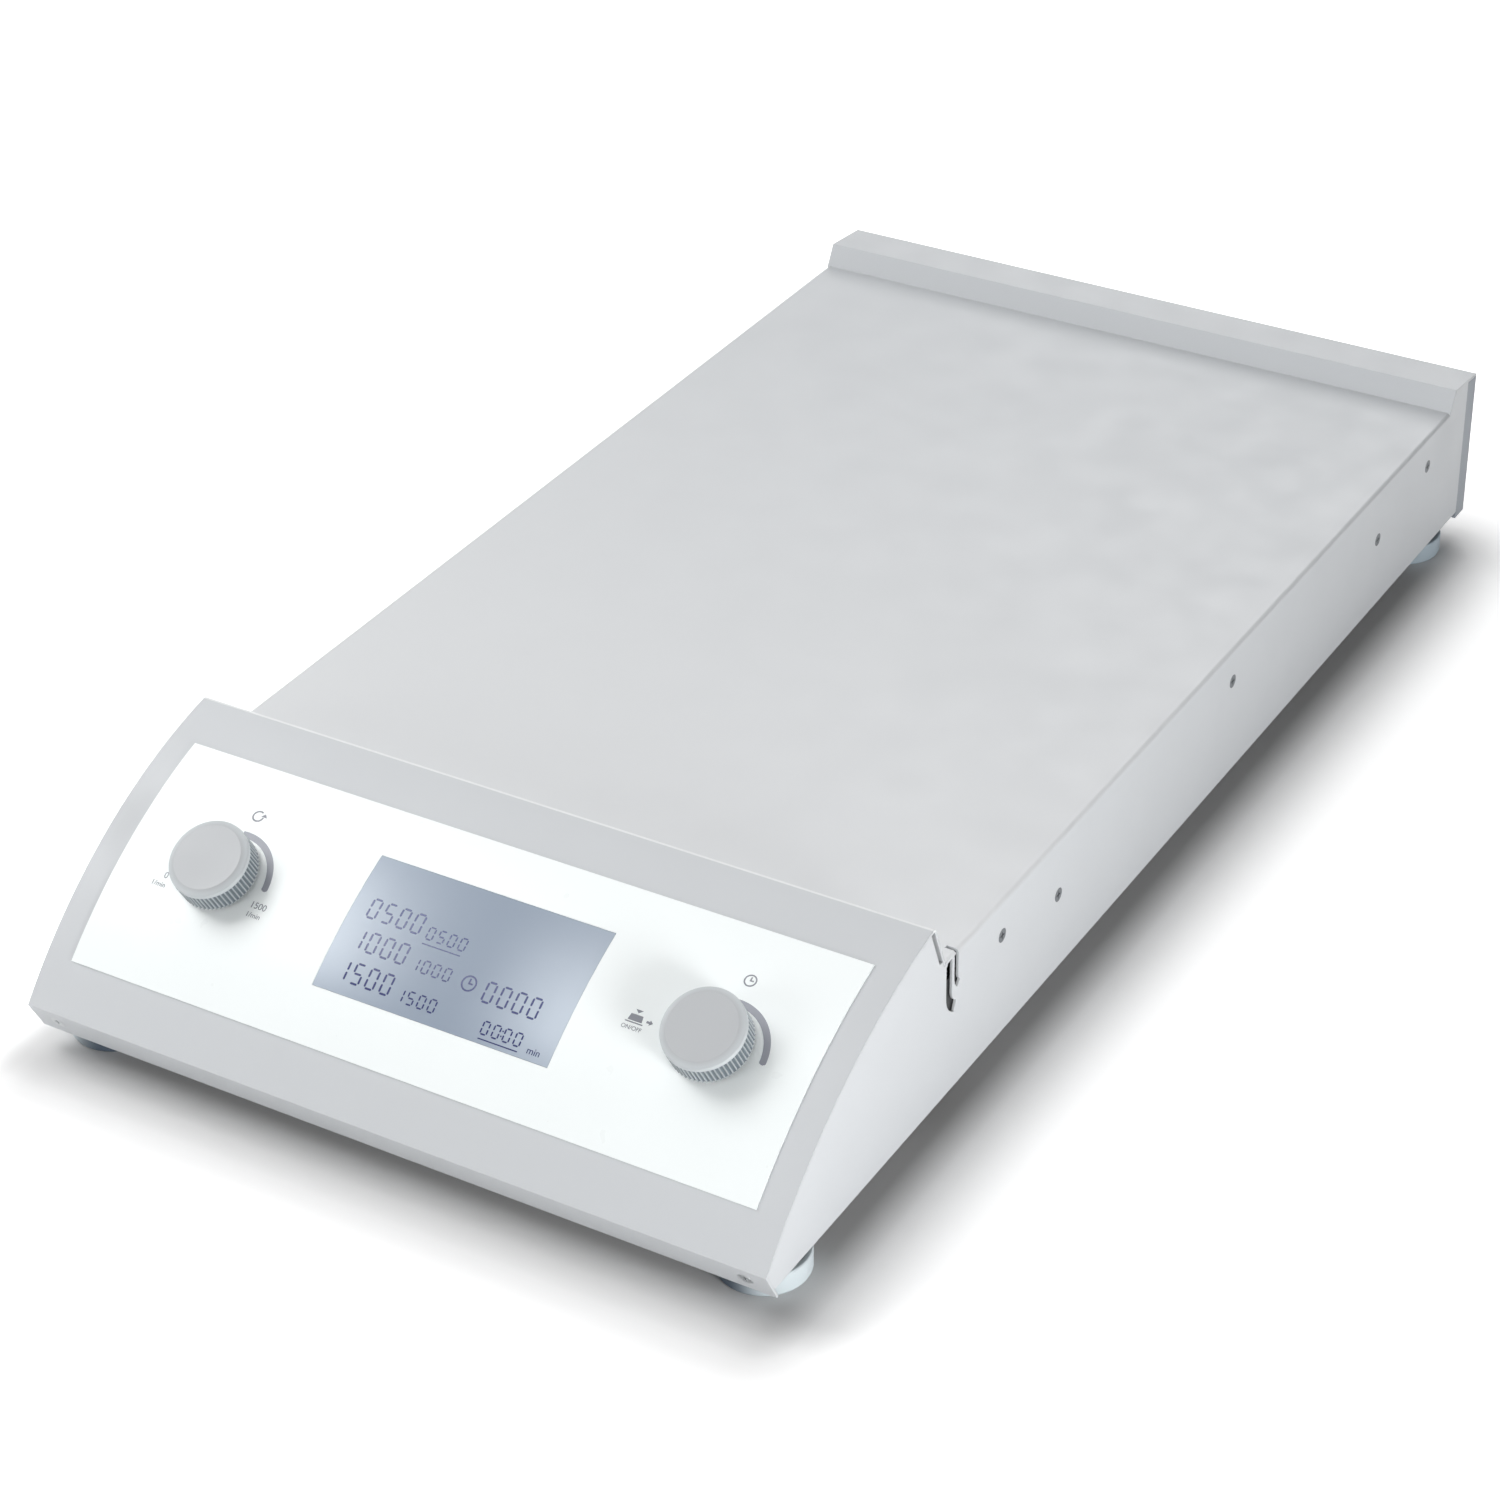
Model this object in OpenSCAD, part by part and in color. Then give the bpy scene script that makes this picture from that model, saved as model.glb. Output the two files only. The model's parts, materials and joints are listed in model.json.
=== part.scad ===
// Magnetic stirrer with fifteen places in three columns of five, each column at its own speed.
// Frame: the middle of the footprint on the bench, +X to the right, +Y to the back, +Z up.

/* [Housing] */
// Height of the side walls' lower edge above the bench
skirt_h = 12; // [11.5:0.5:14]
// Sheet thickness of the housing
sheet_t = 1; // [0.9:0.1:1.5]
// Outer radius of the bend between deck and side wall
edge_r = 1.6; // [1.2:0.1:2.5]
// Play between nested sheet parts
sheet_play = 0.2; // [0.1:0.05:0.3]

/* [Hood] */
// Depth of the ridge behind the front bend
hood_d = 110.5; // [104:0.5:118]
// Height of the ridge above the deck
hood_rise = 18.8; // [15:0.2:21]
// Radius of the curved front
hood_r = 190; // [165:1:220]
// Height of the bend between curved front and chin
chin_h = 20; // [19:0.5:23]
// Height of the chin's lower edge
chin_low = 7.5; // [6.5:0.5:9]
// How far the chin runs back on its way down
chin_run = 6.7; // [5:0.1:8]
// How far the hood's rear face runs back on its way down to the deck
hood_lean = 7.5; // [5:0.5:12]
// Radius of the ridge
ridge_r = 2; // [1.8:0.1:2.5]
// Open slit between the hood's rear face and the cheek
slit_w = 2; // [1.5:0.1:2.5]
// Height of the slit's lower end above the deck
slit_low = 2; // [1:0.1:3]
// Width of the large corner relief in the side wall
relief_w = 4.2; // [3:0.1:5]
// Width of the small corner relief behind it
relief_small_w = 2.8; // [2:0.1:3.5]
// Width of the strip between the two reliefs
relief_strip = 1.5; // [1.2:0.1:2]
// How far the small relief runs over the deck's edge
relief_over = 4.5; // [3:0.1:6]

/* [Rear end] */
// Height of the step at the back of the deck
riser_h = 8.5; // [7:0.5:10]
// Run of the step's front face
riser_run = 5; // [3:0.5:7]
// Depth of the step's top up to the rear panel, over whose rim it runs on to the back
riser_d = 13.5; // [12:0.5:18]
// How much the step's top falls towards the back
riser_fall = 2.2; // [1:0.1:3]
// Depth of the rear panel's rim
rim_d = 9; // [8:0.5:12]
// Height of the rear panel's lower edge
rim_low = 9; // [8:0.5:9.5]

/* [Control panel] */
// Distance of the white front film from the hood's sides
film_side = 10.8; // [8:0.1:14]
// Thickness of the film
film_t = 0.5; // [0.4:0.1:0.8]
// Distance along the curve from the front bend to the film
film_from = 19.2; // [16:0.2:26]
// Height of the film along the curve
film_span = 90.1; // [86:0.1:96]
// Width of the display window
window_w = 93.4; // [86:0.2:100]
// Height of the display window along the curve
window_span = 51; // [46:0.5:56]
// Sideways place of the window's centre
window_x = 2.7; // [-4:0.1:6]
// Place of the window's centre along the curve
window_at = 64.7; // [62:0.1:68]
// Play round the window
window_play = 0.1; // [0.05:0.05:0.2]

/* [Knobs] */
// Distance of the right knob from the display window
knob_space = 35; // [28:0.1:38]
// Place of the knobs along the curve
knob_at = 65.2; // [60:0.1:72]
// Sideways shift of both knobs
knob_shift = 1.2; // [0:0.1:2]
// Diameter of a knob
knob_d = 29.6; // [27:0.1:34]
// Height of a knob
knob_h = 10.6; // [9.5:0.1:13]
// Gap under a knob when it isn't pressed
knob_gap = 1; // [0.8:0.1:1.5]
// Flutes round a knob
knob_flutes = 60; // [40:2:72]
// Depth of a flute
flute_depth = 0.5; // [0.3:0.05:0.6]
// Smooth band above the flutes
knob_band = 2.6; // [2.2:0.1:3.5]
// Width of the soft bevel round a knob's face
knob_bevel = 2.4; // [1.8:0.1:3.2]
// Diameter of an encoder shaft
encoder_shaft_d = 6; // [5:0.1:6.4]
// Radial running clearance of shafts
shaft_play = 0.05; // [0.03:0.01:0.08]
// Wall of the threaded encoder neck
neck_wall = 0.5; // [0.4:0.1:0.8]
// Travel of a knob when it is pressed
push_travel = 0.6; // [0.4:0.1:0.7]

/* [Stirring places] */
// Distance between columns
pitch_x = 88.6; // [82:0.2:92]
// Distance between rows
pitch_y = 85; // [80:0.5:86]
// Distance from the outer columns to the side walls
side_room = 58.4; // [52:0.2:66]
// Distance of the first row behind the hood's foot
first_row = 56.5; // [50:0.5:62]
// Distance between the drive plate and the mains inlet behind it
inlet_gap = 9.5; // [6:0.5:16]
// Air between the turning magnets and the deck
magnet_air = 2.6; // [1.5:0.1:3.5]
// Width of the disc outside its magnets
disc_edge = 2.5; // [1.5:0.1:4]
// Radius of the pulley's rim
pulley_r = 20; // [17:0.5:22]
// Diameter of a magnet
magnet_d = 12; // [10:0.5:14]
// Height of a magnet
magnet_h = 4; // [3:0.5:4]
// Distance of a magnet from the disc's axis
magnet_at = 17.5; // [16:0.5:18.5]
// Diameter of the fixed spindles and the motor shafts
spindle_d = 5; // [4:0.5:6]
// Wall of the bearing bush
bush_wall = 2.4; // [2:0.1:3]
// Diameter of the round drive belts
belt_d = 3; // [2.5:0.1:3.2]
// Diameter of a motor
motor_d = 42; // [36:1:50]
// Height of a motor
motor_h = 28; // [24:1:32]
// Space under the motors
motor_gap = 6; // [4:0.5:8]

/* [Feet and screws] */
// Diameter of a foot
foot_d = 32; // [26:1:34]
// Height of a foot's outer rim
foot_rim = 8.5; // [7:0.5:9.5]
// Distance of the front feet behind the chin's foot
foot_gap_front = 3.3; // [2.8:0.1:8]
// Distance of the rear feet before the rear panel
foot_gap_rear = 3; // [1:0.5:8]
// Height of the upper row of side screws above the drive plate
screw_rise = 5.8; // [4.5:0.1:7]
// Distance of the lower row of side screws below the drive plate's top
screw_drop = 3.5; // [3.2:0.1:5]
// Shank diameter of the small screws
screw_d = 2.9; // [2.5:0.1:3]

/* [Hidden] */
$fn = 48;
zones = ["left", "centre", "right"];
columns = len(zones);
rows = 5;
drive_row = 3;

// Heights from the bench up: tray, motors, drive plate, rotors and deck
tray_z = skirt_h - sheet_t;
tray_top = tray_z + sheet_t;
plate_z = tray_top + motor_gap + motor_h;
plate_top = plate_z + sheet_t;
collar_h = 1.2;
rotor_gap = 0.4;
rotor_z = plate_top + collar_h + rotor_gap;
groove_w = belt_d + 1.4;
groove_depth = groove_w * 0.68;
groove_land = 0.6;
groove_low = rotor_z + 0.4 + groove_w / 2;
groove_high = groove_low + groove_w + groove_land;
disc_z = groove_high + groove_w / 2 + 0.5;
disc_h = magnet_h + 0.5;
disc_top = disc_z + disc_h;
disc_r = magnet_at + magnet_d / 2 + disc_edge;
deck_under = disc_top + magnet_air;
deck_h = deck_under + sheet_t;
hood_h = deck_h + hood_rise;

// Widths
body_w = (columns - 1) * pitch_x + 2 * side_room;
tray_w = body_w - 2 * (sheet_t + sheet_play);
plate_w = tray_w - 2 * (sheet_t + sheet_play);
film_w = body_w - 2 * film_side;
knob_x = window_x + window_w / 2 + knob_space + knob_d / 2 - knob_shift;

// Curve of the hood, in depth from the front and height
front_bend = [0, chin_h];
ridge = [hood_d, hood_h];
chord = norm(ridge - front_bend);
hood_c = (ridge + front_bend) / 2
    + sqrt(hood_r * hood_r - chord * chord / 4) * [hood_h - chin_h, -hood_d] / chord;
bend_angle = atan2(chin_h - hood_c[1], -hood_c[0]);
function curve_angle(at) = bend_angle - at / hood_r * 180 / PI;
function curve_depth(radius, z) = hood_c[0] - sqrt(radius * radius - pow(z - hood_c[1], 2));

// Straight chin and rear face of the hood, each as a point, a direction and an inward normal
chin_foot = [chin_run, chin_low];
chin_dir = (front_bend - chin_foot) / norm(front_bend - chin_foot);
chin_in = [chin_dir[1], -chin_dir[0]];
lean_foot = [hood_d + hood_lean, deck_h];
lean_dir = (lean_foot - ridge) / norm(lean_foot - ridge);
lean_in = [lean_dir[1], -lean_dir[0]];
function line_at(point, dir, z) = point + dir * (z - point[1]) / dir[1];
function chin_at(inset, z) = line_at(chin_foot + inset * chin_in, chin_dir, z);
function lean_at(inset, z) = line_at(ridge + inset * lean_in, lean_dir, z);

// Centre of the rounding on the ridge: inside the curve and inside the rear face by its radius
ridge_start = ridge + ridge_r * lean_in - hood_c;
ridge_run = -ridge_start * lean_dir
    - sqrt(pow(ridge_start * lean_dir, 2) - ridge_start * ridge_start + pow(hood_r - ridge_r, 2));
ridge_c = hood_c + ridge_start + ridge_run * lean_dir;
ridge_out = (ridge_c - hood_c) / norm(ridge_c - hood_c);

// Depths along the body: hood, rows, drive plate, mains inlet and rear panel
function row_y(row) = lean_foot[0] + first_row + (row - 1) * pitch_y;
function column_x(zone) = (zone - (columns - 1) / 2) * pitch_x;
inlet_depth = 24;
plate_margin = disc_r + 8;
plate_from = row_y(1) - plate_margin;
plate_to = row_y(rows) + plate_margin;
panel_back = plate_to + inlet_gap + inlet_depth;
cover_end = panel_back - sheet_t;
body_d = cover_end + rim_d;
riser_top_at = cover_end - riser_d;
riser_foot_at = riser_top_at - riser_run;
riser_z = deck_h + riser_h;
rim_top = riser_z - riser_fall;
function step_top(depth) = riser_z - riser_fall * (depth - riser_top_at) / (body_d - riser_top_at);
function panel_top(depth) = step_top(depth) - sheet_t - sheet_play / 2;

// The deck steps down by its own sheet into a lip that passes under the hood's rear foot
lip_reach = 9;
lip_step_at = lean_at(0, deck_under)[0] + sheet_play;
lip_front = lip_step_at - lip_reach;
relief_at = lean_foot[0] + 0.9 + relief_w / 2;
relief_small_at = relief_at + relief_w / 2 + relief_strip + relief_small_w / 2;

// Spindles, bushes and belts
spindle_r = spindle_d / 2;
bush_r = spindle_r + shaft_play + bush_wall;
bush_seat = 0.05;
clip_h = 0.7;
clip_z = disc_top - 2.6;
spindle_top = disc_top - 1;
belt_gap = 0.3;
// The belt's middle runs where its round section clears both flanks of the groove by belt_gap
groove_half = atan2(groove_w / 2, groove_depth);
belt_r = pulley_r - groove_depth + (belt_d / 2 + belt_gap) / sin(groove_half);

// Encoders, in heights above the hood's surface
shaft_r = encoder_shaft_d / 2;
neck_r = shaft_r + shaft_play + neck_wall;
neck_hole = neck_r + 0.15;
neck_top = film_t + 2.7;
nut_z = film_t + 0.05;
nut_h = 2;
encoder_w = 13;
encoder_top = -sheet_t - 0.15;
encoder_h = 8;
wiper_z = encoder_top - 3.55;
wiper_h = 1.6;
knob_z = film_t + knob_gap;
knob_recess = neck_top + push_travel + 0.4;
module_top = -sheet_t - 2.7;
module_h = 9;
board_t = 1.6;
board_z = module_top - module_h - 0.2 - board_t;

// Mains parts on the rear panel
mains_z = (rim_low + rim_top) / 2;
inlet_x = body_w / 2 - 47;
inlet_w = 27;
inlet_tall = 19.6;
socket_depth = 17;
switch_x = inlet_x - 34;
switch_w = 12.6;
switch_tall = 19;
switch_depth = 16;
rocker_tilt = 10;
fuse_x = switch_x - 26;
fuse_r = 6;
vent_x = -body_w / 2 + 36;
vent_count = 10;
vent_pitch = 9;
vent_w = 3;
vent_tall = 26;

// Screws and feet
screw_r = screw_d / 2;
screw_play = 0.1;
head_r = 2.65;
head_h = sheet_t;
foot_x = body_w / 2 - foot_d / 2;
foot_front = chin_run + foot_d / 2 + foot_gap_front;
foot_rear = rim_d + foot_d / 2 + foot_gap_rear;
foot_bolt_r = 2;
foot_recess = 4.5;
feet = [[-foot_x, foot_front], [foot_x, foot_front],
    [-foot_x, body_d - foot_rear], [foot_x, body_d - foot_rear]];
screw_z_high = plate_top + screw_rise;
screw_z_low = plate_top - screw_drop;
flange_top = screw_z_high + 5;
// Side screws as depth and height: three hold the cover to the tray, two the drive plate as well
side_spots = [[row_y(1) - 15, screw_z_high], [row_y(drive_row) + 3, screw_z_high],
    [row_y(rows) + 26, screw_z_high], [row_y(1) + 28, screw_z_low], [row_y(rows) - 25, screw_z_low]];
chin_screw_x = body_w / 2 - 9.6;
// Rear screws as width and height: three into the tray, two into the cover's tabs
rear_low_x = body_w / 2 - 27;
rear_low_z = rim_low + 11;
tab_x = body_w / 2 - 37;
tab_screw_z = rim_top - 11.3;
rear_spots = [[-rear_low_x, rear_low_z], [0, rear_low_z], [rear_low_x, rear_low_z],
    [-tab_x, tab_screw_z], [tab_x, tab_screw_z]];
motor_screw_at = 14;

// Supply board on the tray: its near left corner, size and the room for what stands on it
supply_x = -tray_w / 2 + 23.3;
supply_y = row_y(rows - 1) - 8;
supply_w = 92;
supply_l = row_y(rows) + 22 - supply_y;
supply_post = 6;
supply_z = tray_top + supply_post;
supply_tall = plate_z - 5.9 - supply_z - board_t;

function rotor_name(zone, row) = str("rotor_", zones[zone], "_", row);
function shaft_name(zone) = str("motor_shaft_", zones[zone]);

// Everything is drawn with its depth counted from the front bend
module from_front() { translate([0, -body_d / 2, 0]) children(); }

// Extrudes a profile of depth and height along the width
module along_x(width) { rotate([90, 0, 90]) linear_extrude(height = width, center = true) children(); }

module both_sides() { children(); mirror([1, 0, 0]) children(); }

// Stands its children on the hood's surface, with +Z outwards and +Y up the curve
module on_hood(x, at) {
    angle = curve_angle(at);
    translate([x, hood_c[0] + hood_r * cos(angle), hood_c[1] + hood_r * sin(angle)])
        rotate([angle - 90, 0, 0]) children();
}

// Side view of the hood, set in from its outer faces, down to the height low
module hood_outline(inset, lean_inset, low) {
    top = hood_h + 20;
    far = chin_at(inset, chin_h + 30);
    intersection() {
        translate(hood_c) circle(r = hood_r - inset, $fn = 240);
        polygon([chin_at(inset, low), far, [far[0], top], lean_at(lean_inset, top), lean_at(lean_inset, low)]);
    }
}

// The sharp corner that the rounding takes off the ridge
module ridge_corner() {
    tip = ridge + (ridge - ridge_c) / norm(ridge - ridge_c) * ridge_r;
    difference() {
        polygon([ridge_c, ridge_c + ridge_out * ridge_r, tip, ridge_c - lean_in * ridge_r]);
        translate(ridge_c) circle(r = ridge_r);
    }
}

// A strip that follows the hood's curve, from one radius to another
module curve_band(x, width, at, span, r_low, r_high) {
    reach = r_high + 20;
    translate([x, 0, 0]) along_x(width) intersection() {
        translate(hood_c) difference() {
            circle(r = r_high, $fn = 240);
            circle(r = r_low, $fn = 240);
        }
        polygon([hood_c,
            for (step = [0, 0.5, 1])
                hood_c + reach * [cos(curve_angle(at + step * span)), sin(curve_angle(at + step * span))]]);
    }
}

// Window opening with some play, through everything on the hood
module window_cut(play) {
    curve_band(window_x, window_w + 2 * play, window_at - window_span / 2 - play,
        window_span + 2 * play, hood_r - 4, hood_r + 4);
}

// Stands its children under the left or right knob, on the hood's surface
module at_knob(side) { on_hood(knob_shift + side * knob_x, knob_at) children(); }

module at_encoders() { for (side = [-1, 1]) at_knob(side) children(); }

module neck_holes() { at_encoders() translate([0, 0, -6]) cylinder(r = neck_hole, h = 12); }

// Countersunk screw along +Z, its head's face at z = 0 and its shank below
module flat_screw(length) {
    difference() {
        union() {
            translate([0, 0, -head_h]) cylinder(r1 = screw_r, r2 = head_r, h = head_h);
            translate([0, 0, -length]) cylinder(r = screw_r, h = length - head_h / 2);
        }
        for (turn = [0, 90]) rotate([0, 0, turn]) cube([0.6, 3, 1.6], center = true);
    }
}

module flat_screw_hole(depth) {
    translate([0, 0, -head_h]) cylinder(r1 = screw_r + screw_play, r2 = head_r + screw_play, h = head_h + 0.01);
    translate([0, 0, -depth]) cylinder(r = screw_r + screw_play, h = depth);
}

// Pan head screw along +Z, its head on z = 0
module pan_screw(radius, length, head, head_height) {
    translate([0, 0, -length]) cylinder(r = radius, h = length);
    difference() {
        cylinder(r = head, h = head_height);
        for (turn = [0, 90]) rotate([0, 0, turn])
            translate([0, 0, head_height]) cube([head * 0.22, head * 1.1, head_height * 0.9], center = true);
    }
}

module at_side_screws() {
    for (spot = side_spots)
        both_sides() translate([body_w / 2, spot[0], spot[1]]) rotate([0, 90, 0]) children();
}

module at_chin_screws() {
    middle = (front_bend + chin_foot) / 2;
    angle = atan2(-chin_in[0], -chin_in[1]);
    both_sides() translate([chin_screw_x, middle[0], middle[1]]) rotate([-angle, 0, 0]) children();
}

// Slot in the side wall that runs straight down and then curls backwards
module relief_slot(at, width, bottom, curl_r, curl_angle) {
    translate([at - width / 2, bottom]) square([width, deck_h + 1 - bottom]);
    translate([at + curl_r, bottom]) intersection() {
        difference() {
            circle(r = curl_r + width / 2);
            circle(r = curl_r - width / 2);
        }
        polygon([[0, 0], [-3 * curl_r, 0], [-3 * curl_r * cos(curl_angle), -3 * curl_r * sin(curl_angle)]]);
    }
}

module side_outline() {
    difference() {
        union() {
            hood_outline(sheet_t, sheet_t + slit_w, skirt_h);
            polygon([[hood_d - 20, skirt_h], [cover_end, skirt_h], [cover_end, step_top(cover_end)],
                [riser_top_at, riser_z], [riser_foot_at, deck_h], [lip_step_at, deck_h],
                [lip_step_at, deck_under], [hood_d - 20, deck_under]]);
            intersection() {
                hood_outline(sheet_t, sheet_t + sheet_play, skirt_h);
                translate([hood_d - 20, 0]) square([40, deck_h + slit_low]);
            }
        }
        relief_slot(relief_at, relief_w, deck_h - 15, 7, 68);
        relief_slot(relief_small_at, relief_small_w, deck_h - 10, 5, 50);
    }
}

// What rounds the outer edge between two points of the side view
module edge_cut(from, to) {
    run = to - from;
    both_sides() translate([body_w / 2, from[0], from[1]]) rotate([atan2(run[1], run[0]), 0, 0])
        rotate([-90, 0, 0]) linear_extrude(height = norm(run)) difference() {
            translate([-edge_r, -1]) square([edge_r + 1, edge_r + 1]);
            translate([-edge_r, edge_r]) circle(r = edge_r);
        }
}

module deck_cover() {
    fold = 0.75 * sheet_t;
    tab_w = 40;
    tab_below = 7;
    color([0.83, 0.85, 0.86]) from_front() difference() {
        union() {
            both_sides() translate([body_w / 2 - sheet_t / 2, 0, 0]) along_x(sheet_t) side_outline();
            along_x(body_w) polygon([[lip_front, deck_under - sheet_t], [lip_front, deck_under],
                [lip_step_at, deck_under], [lip_step_at, deck_h], [riser_foot_at, deck_h],
                [riser_top_at, riser_z], [body_d, rim_top], [body_d, rim_top - sheet_t],
                [riser_top_at + fold, riser_z - sheet_t], [riser_foot_at + fold, deck_under],
                [lip_step_at + sheet_t, deck_under], [lip_step_at + sheet_t, deck_under - sheet_t]]);
            for (side = [-1, 1])
                translate([side * tab_x - tab_w / 2, cover_end - sheet_t, tab_screw_z - tab_below])
                    cube([tab_w, sheet_t, step_top(cover_end) - tab_screw_z + tab_below - sheet_t / 2]);
        }
        edge_cut([relief_at, deck_h], [riser_foot_at, deck_h]);
        edge_cut([riser_top_at, riser_z], [body_d + 1, step_top(body_d + 1)]);
        both_sides() translate([body_w / 2 - relief_over, relief_small_at, deck_h - 2 * sheet_t])
            cube([relief_over + 1, relief_small_w / 2, 3 * sheet_t]);
        at_side_screws() flat_screw_hole(8);
        at_rear_screws() translate([0, 0, -8]) cylinder(r = screw_r + screw_play, h = 10);
    }
}

module front_hood() {
    color([0.84, 0.86, 0.87]) from_front() difference() {
        along_x(body_w) difference() {
            hood_outline(0, 0, chin_low);
            hood_outline(sheet_t, sheet_t, chin_low - 5);
            ridge_corner();
            translate([hood_d, -1]) square([hood_d, deck_under + 1]);
        }
        window_cut(window_play);
        neck_holes();
        at_chin_screws() flat_screw_hole(8);
    }
}

module front_film() {
    color([0.97, 0.99, 0.99]) from_front() difference() {
        curve_band(0, film_w, film_from, film_span, hood_r, hood_r + film_t);
        window_cut(window_play);
        neck_holes();
    }
}

module display_window() {
    color([0.68, 0.72, 0.8]) from_front()
        curve_band(window_x, window_w, window_at - window_span / 2, window_span,
            hood_r - sheet_t, hood_r + film_t);
}

// Display module behind the window: a tray with the glass cell raised in it
module display_module() {
    frame_w = window_w + 8;
    frame_tall = window_span + 9;
    color([0.2, 0.22, 0.24]) from_front() on_hood(window_x, window_at) {
        translate([-frame_w / 2, -frame_tall / 2, module_top - module_h]) difference() {
            cube([frame_w, frame_tall, module_h]);
            translate([3, 3, module_h - 1.5]) cube([frame_w - 6, frame_tall - 6, 2]);
        }
        translate([-window_w / 2, -window_span / 2, module_top - 1.5]) cube([window_w, window_span, 0.8]);
    }
}

board_w = 2 * knob_x + 22;
board_tall = 58;
chip_w = 14;
plug_w = 7;
post_r = 3;
post_hole = 1.6;
standoff_x = window_w / 2 + 26;
standoff_y = board_tall / 2 - 7;
standoff_spots = [for (side = [-1, 1], end = [-1, 1]) [window_x + side * standoff_x, end * standoff_y]];

module control_board() {
    color([0.1, 0.4, 0.25]) from_front() on_hood(0, window_at) difference() {
        union() {
            translate([-board_w / 2, -board_tall / 2, board_z]) cube([board_w, board_tall, board_t]);
            for (chip = [-1, 0, 1]) translate([chip * standoff_x * 0.7, -chip * 8, board_z - 0.9])
                cube([chip_w, chip_w, 2.2], center = true);
            for (plug = [-1, 0, 1])
                translate([plug * (knob_x - 14), plug_w / 2 - board_tall / 2, board_z - 3.9])
                    cube([18, plug_w, 8.2], center = true);
        }
        for (spot = standoff_spots)
            translate([spot[0], spot[1], board_z - 1]) cylinder(r = post_hole, h = board_t + 2);
    }
}

module board_standoffs() {
    color([0.75, 0.75, 0.7]) from_front() intersection() {
        on_hood(0, window_at) for (spot = standoff_spots)
            translate([spot[0], spot[1], board_z + board_t]) cylinder(r = post_r, h = module_h + 11);
        along_x(body_w) translate(hood_c) circle(r = hood_r - sheet_t, $fn = 240);
    }
}

module encoder_bodies() {
    cavity_top = encoder_top - 1.5;
    pin_h = encoder_top - encoder_h - board_z - board_t;
    color([0.55, 0.57, 0.58]) from_front() at_encoders() difference() {
        union() {
            translate([-encoder_w / 2, -encoder_w / 2, encoder_top - encoder_h])
                cube([encoder_w, encoder_w, encoder_h]);
            translate([0, 0, encoder_top - 0.5]) cylinder(r = neck_r, h = neck_top - encoder_top + 0.5);
            for (x = [-2.5, 0, 2.5]) translate([x, -4, encoder_top - encoder_h - pin_h])
                cylinder(r = 0.5, h = pin_h + 0.5);
        }
        translate([0, 0, cavity_top - 5]) cylinder(r = 5, h = 5);
        translate([0, 0, cavity_top - 1]) cylinder(r = shaft_r + shaft_play, h = 20);
    }
}

module encoder_nuts() {
    color([0.75, 0.76, 0.78]) from_front() at_encoders() translate([0, 0, nut_z]) difference() {
        cylinder(r = neck_r + 2.8, h = nut_h, $fn = 6);
        translate([0, 0, -1]) cylinder(r = neck_r, h = nut_h + 2);
    }
}

// Moving disc inside an encoder, which the shaft turns and slides through
module wiper(side) {
    color([0.85, 0.8, 0.65]) from_front() at_knob(side)
        translate([0, 0, wiper_z]) difference() {
            cylinder(r = 4.6, h = wiper_h);
            translate([0, 0, -1]) cylinder(r = shaft_r + shaft_play, h = wiper_h + 2);
        }
}

module encoder_shaft(side) {
    bottom = wiper_z - 1.4;
    color([0.75, 0.76, 0.78]) from_front() at_knob(side)
        translate([0, 0, bottom]) cylinder(r = shaft_r, h = knob_z + knob_h - 2 - bottom);
}

// Fluted knob: a smooth band and a softly bevelled face over straight flutes
module knob(side) {
    knob_r = knob_d / 2;
    fluted_h = knob_h - knob_band;
    band_r = knob_r - 0.1;
    rim_round = 0.8;
    bevel_angle = 24;
    round_end = 90 - bevel_angle;
    bevel_run = knob_bevel - rim_round * (1 - cos(round_end));
    round_z = knob_band - bevel_run * tan(bevel_angle) - rim_round * sin(round_end);
    color([0.74, 0.76, 0.77]) from_front() at_knob(side)
        translate([0, 0, knob_z]) difference() {
            union() {
                linear_extrude(height = fluted_h) difference() {
                    circle(r = knob_r, $fn = 120);
                    for (turn = [0:knob_flutes - 1]) rotate([0, 0, turn * 360 / knob_flutes])
                        translate([knob_r + 0.15, 0]) circle(r = flute_depth + 0.15, $fn = 16);
                }
                translate([0, 0, fluted_h - 0.5]) cylinder(r = knob_r - flute_depth, h = 1);
                translate([0, 0, fluted_h]) rotate_extrude($fn = 120) polygon(concat(
                    [[0, 0], [band_r, 0]],
                    [for (turn = [0:3]) let (angle = turn / 3 * round_end)
                        [band_r - rim_round * (1 - cos(angle)), round_z + rim_round * sin(angle)]],
                    [[band_r - knob_bevel, knob_band], [0, knob_band]]));
            }
            translate([0, 0, -1]) cylinder(r = knob_r * 0.66, h = knob_recess - knob_z + 1);
            translate([0, 0, -1]) cylinder(r = shaft_r, h = knob_h - 1);
        }
}

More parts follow.
